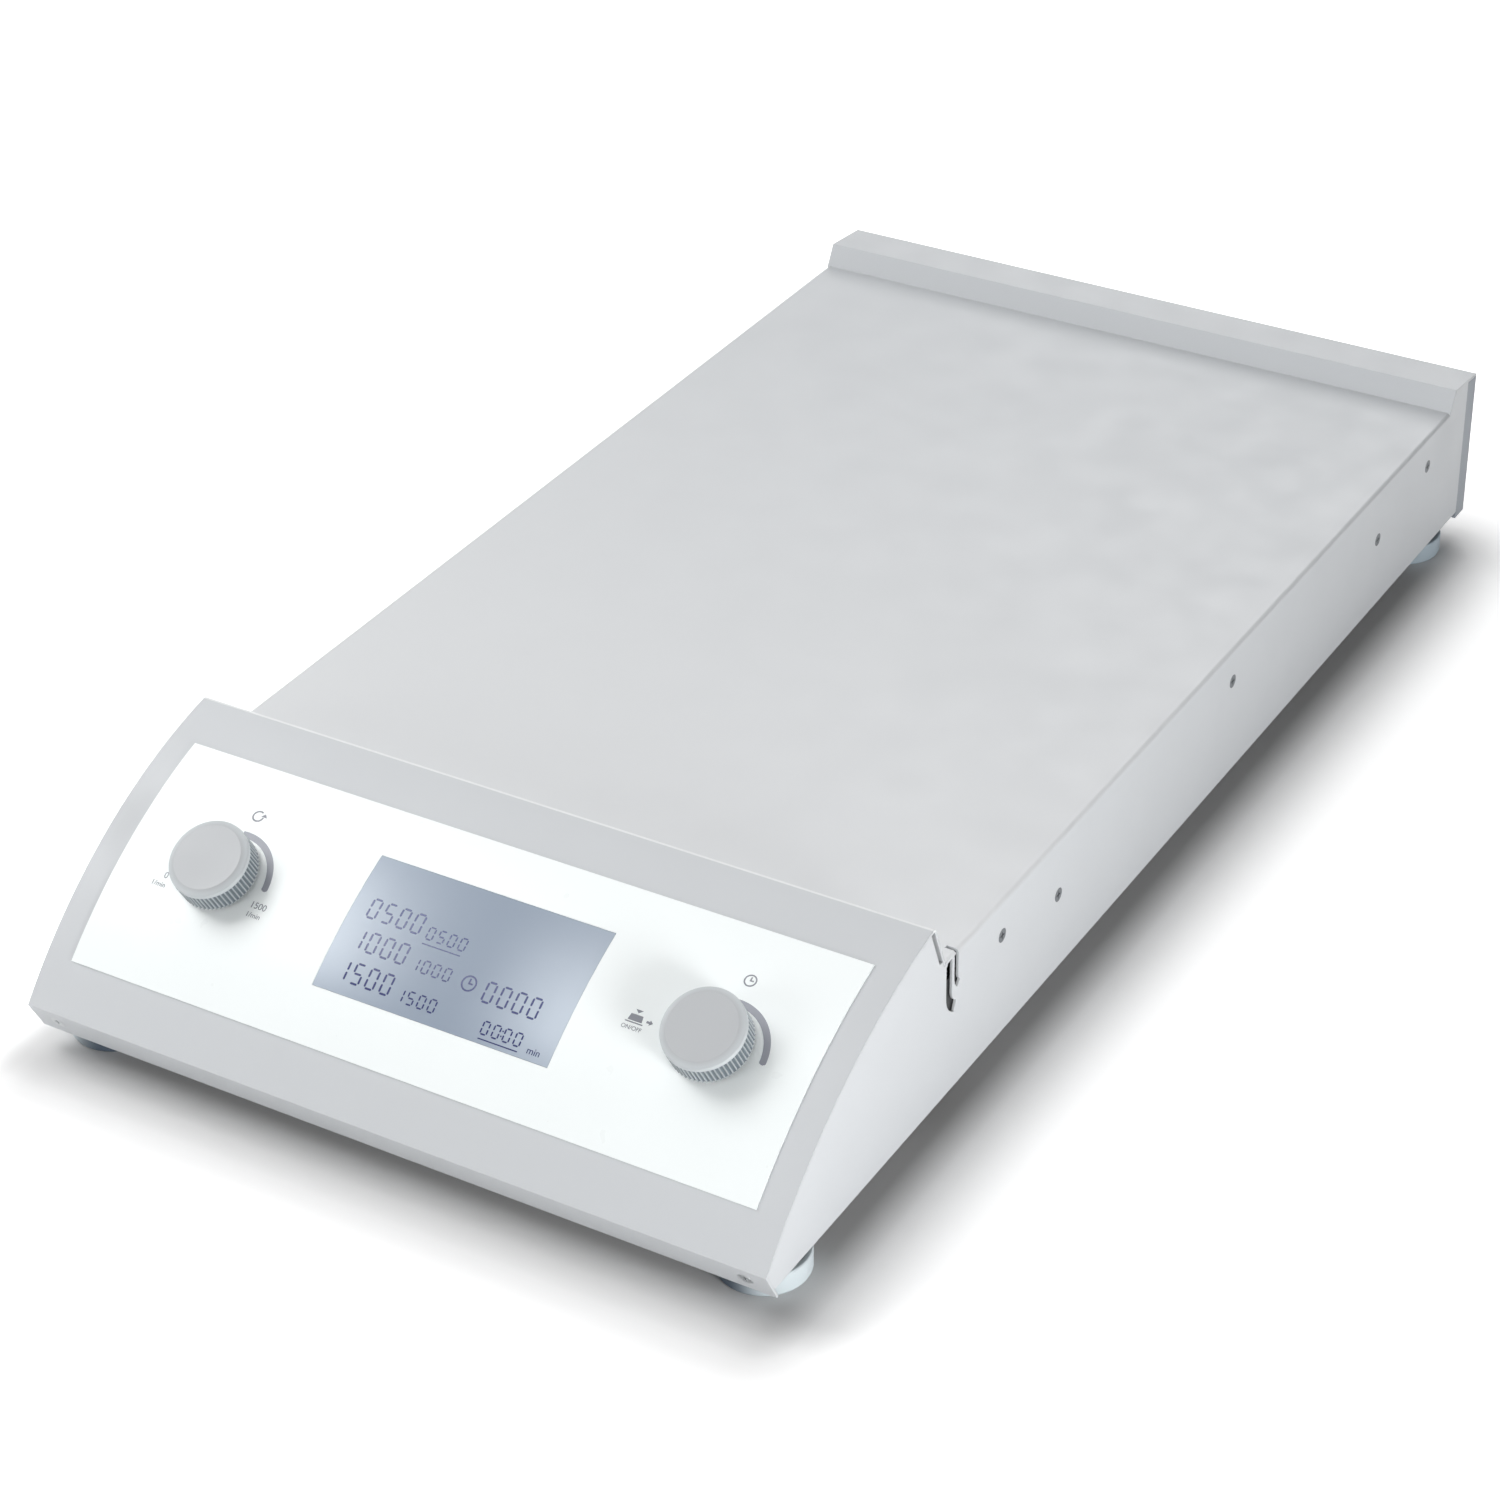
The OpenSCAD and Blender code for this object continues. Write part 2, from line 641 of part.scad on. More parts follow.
module rear_panel() {
    color([0.55, 0.57, 0.6]) from_front() difference() {
        along_x(body_w) polygon([[cover_end, rim_low], [body_d, rim_low], [body_d, panel_top(body_d)],
            [cover_end, panel_top(cover_end)]]);
        along_x(body_w - 2 * sheet_t) polygon([[panel_back, rim_low + sheet_t], [body_d + 1, rim_low + sheet_t],
            [body_d + 1, panel_top(body_d + 1) - sheet_t], [panel_back, panel_top(panel_back) - sheet_t]]);
        through_panel(inlet_x, inlet_w + 0.4, inlet_tall + 0.4);
        through_panel(switch_x, switch_w + 2.4, switch_tall + 0.4);
        translate([fuse_x, cover_end - 1, mains_z]) rotate([-90, 0, 0])
            cylinder(r = fuse_r + 0.15, h = sheet_t + 2);
        for (slot = [0:vent_count - 1])
            through_panel(vent_x + slot * vent_pitch, vent_w, vent_tall);
        at_rear_screws() translate([0, 0, -8]) cylinder(r = screw_r + screw_play, h = 10);
    }
}

module through_panel(x, width, tall) {
    translate([x - width / 2, cover_end - 1, mains_z - tall / 2]) cube([width, sheet_t + 2, tall]);
}

// Rear screws stand on the panel's back face and point backwards
module at_rear_screws() {
    for (spot = rear_spots) translate([spot[0], panel_back, spot[1]]) rotate([-90, 0, 0]) children();
}

module mains_inlet() {
    flange_w = inlet_w + 4;
    flange_tall = inlet_tall + 4.8;
    flange_t = 2.2;
    color([0.12, 0.12, 0.13]) from_front() translate([inlet_x, panel_back, mains_z]) difference() {
        union() {
            translate([-flange_w / 2, 0, -flange_tall / 2]) cube([flange_w, flange_t, flange_tall]);
            translate([-inlet_w / 2, -inlet_depth, -inlet_tall / 2]) cube([inlet_w, inlet_depth + 1, inlet_tall]);
        }
        translate([0, flange_t + 1, 0]) rotate([90, 0, 0]) linear_extrude(height = socket_depth + 1)
            polygon([[-11.5, -7.8], [11.5, -7.8], [11.5, 3.6], [7.3, 7.8], [-7.3, 7.8], [-11.5, 3.6]]);
    }
}

module inlet_pins() {
    flange_t = 2.2;
    floor_y = flange_t - socket_depth;
    color([0.8, 0.8, 0.78]) from_front() translate([inlet_x, panel_back + floor_y, mains_z])
        for (spot = [[-7, -2], [7, -2], [0, 2]])
            translate([spot[0] - 1, 0, spot[1] - 2]) cube([2, 12, 4]);
}

module switch_frame() {
    flange_w = switch_w + 4.4;
    flange_tall = switch_tall + 4;
    color([0.12, 0.12, 0.13]) from_front() translate([switch_x, panel_back, mains_z]) difference() {
        union() {
            translate([-flange_w / 2, 0, -flange_tall / 2]) cube([flange_w, 2, flange_tall]);
            translate([-switch_w / 2 - 1, -switch_depth, -switch_tall / 2])
                cube([switch_w + 2, switch_depth + 1, switch_tall]);
        }
        translate([-switch_w / 2, 2 - switch_depth, -switch_tall / 2 + 0.7])
            cube([switch_w, switch_depth + 1, switch_tall - 1.4]);
        translate([-flange_w, -2, 0]) rotate([0, 90, 0]) cylinder(r = 1 + shaft_play, h = 2 * flange_w);
    }
}

// Rocker with its pivot pin, tipped to its off side
module switch_rocker() {
    half = switch_tall / 2 - 1.6;
    color([0.1, 0.1, 0.11]) from_front() translate([switch_x, panel_back - 2, mains_z])
        rotate([rocker_tilt, 0, 0]) {
            along_x(switch_w - 0.6)
                polygon([[-6, -3], [-1, -half], [4.2, -half], [2.9, 0], [4.2, half], [-1, half], [-6, 3]]);
            rotate([0, 90, 0]) cylinder(r = 1, h = switch_w + 1.4, center = true);
        }
}

module fuse_holder() {
    color([0.12, 0.12, 0.13]) from_front() translate([fuse_x, panel_back, mains_z]) rotate([-90, 0, 0])
        difference() {
            union() {
                cylinder(r = fuse_r + 2, h = 1.8);
                translate([0, 0, -22]) cylinder(r = fuse_r, h = 23);
                cylinder(r = fuse_r - 0.5, h = 5);
            }
            translate([0, 0, 5]) cube([1.2, 8, 2], center = true);
        }
}

module base_tray() {
    inner = sheet_t + 0.1;
    lip_z = chin_h - sheet_t;
    flange_from = curve_depth(hood_r - sheet_t, flange_top) + 4;
    upstand = rear_low_z + 8.5 - tray_z;
    tray_from = chin_at(inner + sheet_t, tray_z)[0];
    color([0.7, 0.72, 0.74]) from_front() difference() {
        union() {
            translate([-tray_w / 2, tray_from - 1, tray_z]) cube([tray_w, cover_end - tray_from + 1, sheet_t]);
            both_sides() translate([tray_w / 2 - sheet_t, flange_from, tray_z])
                cube([sheet_t, cover_end - flange_from, flange_top - tray_z]);
            translate([-tray_w / 2, cover_end - sheet_t, tray_z]) cube([tray_w, sheet_t, upstand]);
            along_x(tray_w) polygon([chin_at(inner, tray_z), chin_at(inner, lip_z),
                chin_at(inner + sheet_t, lip_z), chin_at(inner + sheet_t, tray_z)]);
            for (spot = feet) translate([spot[0], spot[1], tray_z]) cylinder(r = 4.5, h = sheet_t + 3);
        }
        for (spot = feet) translate([spot[0], spot[1], tray_z - 1]) cylinder(r = foot_bolt_r, h = 10);
        for (slot = [0:11]) translate([supply_x + (slot + 0.6) / 13 * supply_w, supply_y + 20, tray_z - 1])
            cube([vent_w, supply_l - 55, sheet_t + 2]);
        at_side_screws() translate([0, 0, -8]) cylinder(r = screw_r + screw_play, h = 10);
        at_chin_screws() translate([0, 0, -8]) cylinder(r = screw_r + screw_play, h = 10);
        at_rear_screws() translate([0, 0, -8]) cylinder(r = screw_r + screw_play, h = 10);
    }
}

module drive_plate() {
    fold_h = plate_top - screw_z_low + 6;
    color([0.78, 0.79, 0.8]) from_front() difference() {
        union() {
            translate([-plate_w / 2, plate_from, plate_z]) cube([plate_w, plate_to - plate_from, sheet_t]);
            both_sides() translate([plate_w / 2 - sheet_t, plate_from, plate_top - fold_h])
                cube([sheet_t, plate_to - plate_from, fold_h]);
        }
        for (zone = [0:columns - 1], row = [1:rows]) translate([column_x(zone), row_y(row), plate_z - 1])
            cylinder(r = row == drive_row ? 8.1 : spindle_r + 0.55, h = sheet_t + 2);
        at_motor_screws() translate([0, 0, -3]) cylinder(r = screw_r + screw_play, h = 6);
        at_side_screws() translate([0, 0, -8]) cylinder(r = screw_r + screw_play, h = 10);
    }
}

module at_spindles() {
    for (zone = [0:columns - 1], row = [1:rows]) if (row != drive_row)
        translate([column_x(zone), row_y(row), 0]) children();
}

// Fixed spindle, riveted through the drive plate, with a collar under the rotor and a clip groove
module spindles() {
    rivet = spindle_r + 0.5;
    groove = clip_h + 0.15;
    color([0.7, 0.71, 0.72]) from_front() at_spindles() rotate_extrude()
        polygon([[0, plate_z - 1.2], [rivet + 1.5, plate_z - 1.2], [rivet + 1.5, plate_z], [rivet, plate_z],
            [rivet, plate_top], [rivet + 2.5, plate_top], [rivet + 2.5, plate_top + collar_h],
            [spindle_r, plate_top + collar_h], [spindle_r, clip_z - 0.05], [spindle_r - 0.4, clip_z - 0.05],
            [spindle_r - 0.4, clip_z - 0.05 + groove], [spindle_r, clip_z - 0.05 + groove],
            [spindle_r, spindle_top - 0.4], [spindle_r - 0.4, spindle_top], [0, spindle_top]]);
}

module spindle_clips() {
    color([0.3, 0.3, 0.32]) from_front() at_spindles() translate([0, 0, clip_z]) difference() {
        cylinder(r = spindle_r + 1.6, h = clip_h);
        translate([0, 0, -1]) cylinder(r = spindle_r - 0.35, h = clip_h + 2);
        translate([spindle_r * 0.7, -spindle_r * 0.8, -1]) cube([4, spindle_r * 1.6, clip_h + 2]);
    }
}

// Magnet rotor: a moulded two-groove pulley under a disc with two magnets, on a bearing bush
module rotor(zone, row) {
    on_motor = row == drive_row;
    bore = on_motor ? spindle_r : bush_r + bush_seat;
    hub_top = clip_z - 0.4;
    rim = pulley_r;
    throat = pulley_r - groove_depth;
    half = groove_w / 2;
    from_front() translate([column_x(zone), row_y(row), 0]) {
        color([0.16, 0.17, 0.18]) difference() {
            rotate_extrude() polygon([[bore, rotor_z], [rim, rotor_z], [rim, groove_low - half],
                [throat, groove_low], [rim, groove_low + half], [rim, groove_high - half],
                [throat, groove_high], [rim, groove_high + half], [rim, disc_z], [disc_r, disc_z],
                [disc_r, disc_top - 0.6], [disc_r - 0.6, disc_top], [bush_r + 1, disc_top],
                [bush_r + 1, hub_top], [bore, hub_top]]);
            for (side = [-1, 1]) translate([side * magnet_at, 0, disc_top - magnet_h - 0.1])
                cylinder(r = magnet_d / 2 + bush_seat, h = magnet_h + 1);
        }
        color([0.75, 0.76, 0.78]) for (side = [-1, 1])
            translate([side * magnet_at, 0, disc_top - magnet_h - 0.05]) cylinder(d = magnet_d, h = magnet_h);
        if (!on_motor) color([0.7, 0.6, 0.4]) translate([0, 0, rotor_z]) difference() {
            cylinder(r = bush_r, h = hub_top - rotor_z);
            translate([0, 0, -1]) cylinder(r = spindle_r + shaft_play, h = hub_top - rotor_z + 2);
        }
    }
}

// Round belts, each from one rotor to the next, on the lower and upper grooves in turn
module drive_belts() {
    color([0.25, 0.3, 0.25]) from_front() for (zone = [0:columns - 1], row = [1:rows - 1])
        translate([column_x(zone), row_y(row), row % 2 == 1 ? groove_low : groove_high]) {
            rotate([0, 0, 180]) belt_end();
            translate([0, pitch_y, 0]) belt_end();
            both_sides() translate([belt_r, 0, 0]) rotate([-90, 0, 0]) cylinder(d = belt_d, h = pitch_y);
        }
}

module belt_end() { rotate_extrude(angle = 180, $fn = 96) translate([belt_r, 0]) circle(d = belt_d); }

module motor_cans() {
    boss_h = sheet_t + 0.4;
    color([0.6, 0.61, 0.63]) from_front() for (zone = [0:columns - 1])
        translate([column_x(zone), row_y(drive_row), 0]) difference() {
            union() {
                translate([0, 0, plate_z - motor_h]) rotate_extrude()
                    polygon([[0, 0], [motor_d / 2 - 1.5, 0], [motor_d / 2, 1.5], [motor_d / 2, motor_h - 0.8],
                        [motor_d / 2 - 0.8, motor_h], [0, motor_h]]);
                translate([0, 0, plate_z - 1]) cylinder(r = 8, h = boss_h + 1);
            }
            translate([0, 0, plate_z - motor_h + 3])
                cylinder(r = spindle_r + shaft_play, h = motor_h + boss_h);
            for (side = [-1, 1]) translate([0, side * motor_screw_at, plate_z - 5])
                cylinder(r = screw_r, h = 6);
        }
}

module motor_shaft(zone) {
    color([0.75, 0.76, 0.78]) from_front()
        translate([column_x(zone), row_y(drive_row), plate_z - motor_h + 3.5])
            cylinder(r = spindle_r, h = spindle_top - plate_z + motor_h - 3.5);
}

module at_motor_screws() {
    for (zone = [0:columns - 1], side = [-1, 1])
        translate([column_x(zone), row_y(drive_row) + side * motor_screw_at, plate_top]) children();
}

module motor_screws() {
    color([0.4, 0.41, 0.43]) from_front() at_motor_screws() pan_screw(screw_r, sheet_t + 4, 2.6, 1.1);
}

module supply_board() {
    color([0.1, 0.4, 0.25]) from_front() difference() {
        translate([supply_x, supply_y, supply_z]) cube([supply_w, supply_l, board_t]);
        at_supply_posts() translate([0, 0, supply_post - 1]) cylinder(r = post_hole, h = board_t + 2);
    }
}

module at_supply_posts() {
    inset = post_r + 2;
    for (x = [inset, supply_w - inset], y = [inset, supply_l - inset])
        translate([supply_x + x, supply_y + y, tray_top]) children();
}

module supply_standoffs() {
    color([0.75, 0.75, 0.7]) from_front() at_supply_posts() cylinder(r = post_r, h = supply_post);
}

// Transformer, two capacitors, a filter choke and a finned heat sink on the supply board
module supply_parts() {
    edge = 14;
    coil = [34, 30];
    bobbin = 6;
    can_d = 13;
    choke_d = 22;
    sink_w = 40;
    fin_t = 1.6;
    fins = 7;
    from_front() translate([supply_x, supply_y, supply_z + board_t]) {
        color([0.85, 0.75, 0.3]) translate([edge, supply_l - coil[1] - 27, 0]) difference() {
            cube([coil[0], coil[1], supply_tall]);
            for (x = [-1, coil[0] - bobbin])
                translate([x, bobbin, 4]) cube([bobbin + 1, coil[1] - 2 * bobbin, supply_tall]);
        }
        color([0.15, 0.2, 0.4]) for (can = [0, 1])
            translate([supply_w - edge - can * (can_d + 3), 40, 0]) cylinder(d = can_d, h = supply_tall);
        color([0.2, 0.2, 0.22]) translate([supply_w - edge - choke_d / 2, supply_l - choke_d / 2 - 16, 0])
            difference() {
                cylinder(d = choke_d, h = supply_tall / 2);
                translate([0, 0, 2]) cylinder(d = choke_d - 12, h = supply_tall);
            }
        color([0.7, 0.71, 0.72]) translate([edge, edge + 4, 0]) {
            cube([sink_w, 2, supply_tall]);
            for (fin = [0:fins - 1]) translate([fin * (sink_w - fin_t) / (fins - 1), 1, 0])
                cube([fin_t, 12, supply_tall]);
        }
    }
}

// Rubber foot with a rounded sole, a recess for its screw, and a cupped top round the boss to the tray
module rubber_feet() {
    foot_r = foot_d / 2;
    soft = 0.4;
    cup_floor = foot_rim - 2;
    cup_r = foot_r - 2.2;
    boss_r = 9;
    recess_r = 5;
    bore = foot_bolt_r + 0.15;
    color([0.62, 0.68, 0.72]) from_front() for (spot = feet) translate([spot[0], spot[1], 0]) rotate_extrude()
        polygon([[recess_r, 0], [foot_r - 3 * soft, 0], [foot_r - soft, soft], [foot_r, 3 * soft],
            [foot_r, foot_rim - soft], [foot_r - soft, foot_rim], [cup_r + soft, foot_rim], [cup_r, cup_floor],
            [boss_r, cup_floor], [boss_r, tray_z], [bore, tray_z], [bore, foot_recess], [recess_r, foot_recess]]);
}

module foot_screws() {
    color([0.7, 0.71, 0.72]) from_front() for (spot = feet) translate([spot[0], spot[1], foot_recess])
        rotate([180, 0, 0]) pan_screw(foot_bolt_r, tray_top + 2, 4, 2.4);
}

module side_screws() {
    color([0.25, 0.26, 0.27]) from_front() at_side_screws() flat_screw(7);
}

module chin_screws() {
    color([0.7, 0.71, 0.72]) from_front() at_chin_screws() flat_screw(6);
}

module rear_screws() {
    color([0.7, 0.71, 0.72]) from_front() at_rear_screws() pan_screw(screw_r, sheet_t * 2 + 2, 2.8, 1.8);
}

deck_cover();
front_hood();
rear_panel();
base_tray();
drive_plate();
front_film();
display_window();
display_module();
control_board();
board_standoffs();
encoder_bodies();
encoder_nuts();
wiper(-1);  // speed_wiper
encoder_shaft(-1);  // speed_shaft
knob(-1);  // speed_knob
wiper(1);  // time_wiper
encoder_shaft(1);  // time_shaft
knob(1);  // time_knob
spindles();
spindle_clips();
drive_belts();
motor_cans();
motor_screws();
mains_inlet();
inlet_pins();
switch_frame();
switch_rocker();
fuse_holder();
supply_board();
supply_parts();
supply_standoffs();
rubber_feet();
foot_screws();
side_screws();
chin_screws();
rear_screws();
for (zone = [0:columns - 1]) {
    motor_shaft(zone);
    for (row = [1:rows]) rotor(zone, row);
}
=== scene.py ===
# %% [markdown]
# # A stirrer with fifteen places
# The instrument is a long flat box of folded sheet steel. A curved hood at the front carries a
# white film with a display and two knobs. Behind it lies the plain deck, and fifteen magnet rotors
# turn under it in three columns.
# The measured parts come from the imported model, and this script dresses them: finishes, prints,
# the display's digits, light and camera.
# First the model is loaded. Its parts are already in metres and in their places.

# %% Load the measured parts
import json
from math import atan2, cos, degrees, radians, sin

import bmesh
import bpy
from mathutils import Matrix, Vector


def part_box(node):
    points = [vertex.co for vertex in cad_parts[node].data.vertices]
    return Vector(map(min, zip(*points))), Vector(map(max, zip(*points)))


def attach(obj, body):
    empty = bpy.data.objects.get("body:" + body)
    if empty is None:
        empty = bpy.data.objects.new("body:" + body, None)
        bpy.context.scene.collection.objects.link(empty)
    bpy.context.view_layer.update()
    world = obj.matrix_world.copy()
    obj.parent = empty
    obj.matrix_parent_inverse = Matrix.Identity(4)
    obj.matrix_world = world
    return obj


MM = 0.001
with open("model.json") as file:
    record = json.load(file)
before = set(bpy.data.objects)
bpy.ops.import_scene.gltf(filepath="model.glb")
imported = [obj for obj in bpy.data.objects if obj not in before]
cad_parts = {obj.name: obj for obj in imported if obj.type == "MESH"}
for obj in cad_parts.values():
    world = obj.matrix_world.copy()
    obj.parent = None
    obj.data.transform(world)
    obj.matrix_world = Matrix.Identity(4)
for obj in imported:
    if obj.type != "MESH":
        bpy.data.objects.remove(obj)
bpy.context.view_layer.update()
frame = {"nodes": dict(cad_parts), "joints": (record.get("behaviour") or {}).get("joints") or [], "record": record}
joints = {joint["name"]: joint for joint in frame["joints"]}

# %% [markdown]
# # The camera
# The picture was taken with a long lens from the right front corner, well above the deck.
# A camera could be aimed by eye. Here its place, turn and lens were worked out from the edges
# and the grid of places in the picture, so the picture and the render can be laid on each other.

# %% Set up the camera
LENS_MM = 91.6
SENSOR_MM = 36.0
CAMERA_PLACE = Vector((0.6122, -1.0817, 0.7973))
CAMERA_TURN = (1.0039, 0.01206, 0.5292)

camera_data = bpy.data.cameras.new("camera")
camera_data.lens = LENS_MM
camera_data.sensor_width = SENSOR_MM
camera = bpy.data.objects.new("camera", camera_data)
camera.location = CAMERA_PLACE
camera.rotation_euler = CAMERA_TURN
bpy.context.scene.collection.objects.link(camera)
bpy.context.scene.camera = camera
print("camera", round(CAMERA_PLACE.length, 3), "m from the middle of the footprint")

# %% [markdown]
# # Colours and nodes
# A material is a small network of nodes that ends in a shader. Colours are easiest to note as six
# hex digits, as a screen shows them, but the shader reckons in linear light, so every colour
# goes through one function. A second helper makes a node with its settings in one line.

# %% Write colours and make nodes
def linear(hex_colour):
    """The linear colour, with its alpha, of a screen colour written as six hex digits."""
    shades = [int(hex_colour[at:at + 2], 16) / 255 for at in (0, 2, 4)]
    return [s / 12.92 if s <= 0.04045 else ((s + 0.055) / 1.055) ** 2.4 for s in shades] + [1.0]


def add(tree, kind, inputs=None, **settings):
    """A new shader node with these settings and input values."""
    made = tree.nodes.new("ShaderNode" + kind)
    for name, value in settings.items():
        setattr(made, name, value)
    for name, value in (inputs or {}).items():
        made.inputs[name].default_value = value
    return made


print("a screen's middle grey is", round(linear("808080")[0], 3), "in linear light")

# %% [markdown]
# # Arithmetic in a material
# Most patterns here are a few steps of arithmetic on a place: how far along is this point, is it
# behind that line, how near is it to an axis. These helpers take sockets or plain numbers, so a
# pattern reads like a formula.

# %% Helpers for sums, spans and blends
def reckon(tree, operation, *values):
    """One step of arithmetic on sockets or plain numbers."""
    made = add(tree, "Math", operation=operation)
    for slot, value in zip(made.inputs, values):
        if isinstance(value, (int, float)):
            slot.default_value = value
        else:
            tree.links.new(value, slot)
    return made.outputs["Value"]


def span(tree, value, start, end, low=0.0, high=1.0, **settings):
    """Maps a value from start..end to low..high, and holds it there outside."""
    ends = {"From Min": start, "From Max": end, "To Min": low, "To Max": high}
    made = add(tree, "MapRange", ends, **settings)
    tree.links.new(value, made.inputs["Value"])
    return made.outputs["Result"]


def blend(tree, factor, first, second):
    """A colour that goes from the first to the second, each a socket or a fixed colour."""
    mix = add(tree, "Mix", data_type="RGBA")
    tree.links.new(factor, mix.inputs[0])
    for slot, colour in ((mix.inputs[6], first), (mix.inputs[7], second)):
        if isinstance(colour, list):
            slot.default_value = colour
        else:
            tree.links.new(colour, slot)
    return mix.outputs[2]


def axis_of(tree, source, output, axis):
    """One axis of a place or of a normal."""
    parts = add(tree, "SeparateXYZ")
    tree.links.new(add(tree, source).outputs[output], parts.inputs["Vector"])
    return parts.outputs[axis]


def place_on(tree, axis):
    """Where a point lies along an axis of the instrument, in metres."""
    return axis_of(tree, "TexCoord", "Object", axis)


print("five helpers for patterns")

# %% [markdown]
# # Noise for every finish
# Every finish on the instrument is plain from afar and uneven close up: paint has orange peel,
# sheet metal has a grain, moulded plastic has a fine bite. A picture could be wrapped round the
# parts, but noise that lives in space needs no unwrapping and stays sharp from any distance.

# %% Noise in space
NOISE_LOW, NOISE_HIGH = 0.3, 0.7


def noise(tree, size, detail=2.0, stretch=(1, 1, 1)):
    """Noise with lumps of about this size in metres; stretch makes them longer along an axis."""
    place = add(tree, "TexCoord")
    spread = add(tree, "Mapping", {"Scale": [1 / part for part in stretch]})
    lumps = add(tree, "TexNoise", {"Scale": 1 / size, "Detail": detail})
    tree.links.new(place.outputs["Object"], spread.inputs["Vector"])
    tree.links.new(spread.outputs["Vector"], lumps.inputs["Vector"])
    return lumps.outputs[0]


print("most of the noise lies between", NOISE_LOW, "and", NOISE_HIGH)

# %% [markdown]
# # One recipe for most finishes
# A finish here is a colour with a slight drift, a roughness that wanders a little, a fine relief
# and softened edges. Folded sheet and moulded plastic never have sharp edges, and an edge that
# catches light is what makes a part look solid. The bevel node does this in the shading, so the
# measured shape stays as it is.

# %% The general finish
SMEAR_SHARE = 0.6
EDGE_SAMPLES = 4


def finish(name, colour, roughness, metallic=0.0, drift=0.04, drift_size=0.03, grain_size=0.0009,
           grain_depth=0.00001, wander=0.05, edge=0.0004, stretch=(1, 1, 1), coat=0.0):
    """A material with drifting colour, wandering roughness, fine relief and soft edges."""
    made = bpy.data.materials.new(name)
    made.use_nodes = True
    tree = made.node_tree
    shader = tree.nodes["Principled BSDF"]
    shader.inputs["Metallic"].default_value = metallic
    shader.inputs["Coat Weight"].default_value = coat
    light = linear(colour)
    dark = [part * (1 - drift) for part in light[:3]] + [1.0]
    clouds = noise(tree, drift_size, 3.0, stretch)
    tree.links.new(blend(tree, clouds, dark, light), shader.inputs["Base Color"])
    smear = noise(tree, drift_size * SMEAR_SHARE, 4.0, stretch)
    shine = span(tree, smear, NOISE_LOW, NOISE_HIGH, roughness - wander, roughness + wander)
    tree.links.new(shine, shader.inputs["Roughness"])
    relief = add(tree, "Bump", {"Strength": 1.0, "Distance": grain_depth})
    tree.links.new(noise(tree, grain_size, 2.0, stretch), relief.inputs["Height"])
    if edge:
        soft = add(tree, "Bevel", {"Radius": edge}, samples=EDGE_SAMPLES)
        tree.links.new(soft.outputs["Normal"], relief.inputs["Normal"])
    tree.links.new(relief.outputs["Normal"], shader.inputs["Normal"])
    return made


def opened(made):
    """A finish opened for change: its node tree, its shader and the socket that colours it."""
    tree = made.node_tree
    shader = tree.nodes["Principled BSDF"]
    return tree, shader, shader.inputs["Base Color"].links[0].from_socket


print("the general recipe is ready")

# %% [markdown]
# # The general finishes
# Each finish is named as the parts' record names it. A metal has metallic 1 and a low roughness,
# a plastic or a paint has metallic 0. The sheet is painted a pale cool grey, the rear panel a
# darker one, and what sits inside is black plastic, dark rotors, rubber and steel.

# %% Make the general finishes
HOUSING_GREY = "CDD0D3"

GENERAL = {
    "housing_paint": {"colour": HOUSING_GREY, "roughness": 0.5, "drift": 0.015},
    "rear_paint": {"colour": "959BA3", "roughness": 0.5, "edge": 0.0005},
    "knob_plastic": {"colour": "B6BABD", "roughness": 0.42, "grain_size": 0.0005, "edge": 0.00025},
    "black_plastic": {"colour": "2A2B2E", "roughness": 0.38, "grain_size": 0.0005},
    "rotor_plastic": {"colour": "33363A", "roughness": 0.5, "grain_size": 0.0006},
    "belt_rubber": {"colour": "2E332F", "roughness": 0.7, "drift": 0.15, "edge": 0},
    "steel": {"colour": "B8BABD", "roughness": 0.28, "metallic": 1.0, "edge": 0.0002,
              "stretch": (1, 1, 0.2)},
    "screw_dark": {"colour": "72767A", "roughness": 0.5, "metallic": 0.2, "edge": 0.0002},
    "screw_bright": {"colour": "D6D9DB", "roughness": 0.3, "metallic": 0.9, "edge": 0.0002},
    "contact_metal": {"colour": "D8CDB0", "roughness": 0.25, "metallic": 1.0, "edge": 0.0002},
}

finishes = {name: finish(name, **settings) for name, settings in GENERAL.items()}
print(len(finishes), "general finishes")

# %% [markdown]
# # Zinc coated sheet
# The tray and the drive plate are bare sheet. Zinc on steel grows in flat crystals, and each
# mirrors the light a little differently. Voronoi cells show that well: every cell gets one random
# shade, which blends between a darker and a lighter zinc grey.

# %% Zinc with flat crystals
CRYSTALS_PER_METRE = 140.0


def zinc_sheet(name):
    """Bare sheet with flat crystals of slightly different brightness."""
    made = finish(name, "B4B7BA", 0.4, 1.0, grain_size=0.0015, edge=0.0003)
    tree, shader, _ = opened(made)
    place = add(tree, "TexCoord")
    cells = add(tree, "TexVoronoi", {"Scale": CRYSTALS_PER_METRE})
    tree.links.new(place.outputs["Object"], cells.inputs["Vector"])
    grey = add(tree, "SeparateColor")
    tree.links.new(cells.outputs["Color"], grey.inputs["Color"])
    shades = blend(tree, grey.outputs["Red"], linear("A4A8AC"), linear("BEC1C4"))
    tree.links.new(shades, shader.inputs["Base Color"])
    return made


finishes["bare_sheet"] = zinc_sheet("bare_sheet")
print("crystals of about", round(1000 / CRYSTALS_PER_METRE), "mm")

# %% [markdown]
# Painted shade behind the slits
# Beside the hood the casing has open slits, and they look black, because deep shade lies inside
# them. The tray's upright sides stand right behind them, and bright zinc would shine through. So the
# tray is painted matt black there, between two depths, as painted shade, and zinc everywhere else.

# %% Paint shade on a stretch of the tray
SLITS_FROM, SLITS_TO = -0.182, -0.155


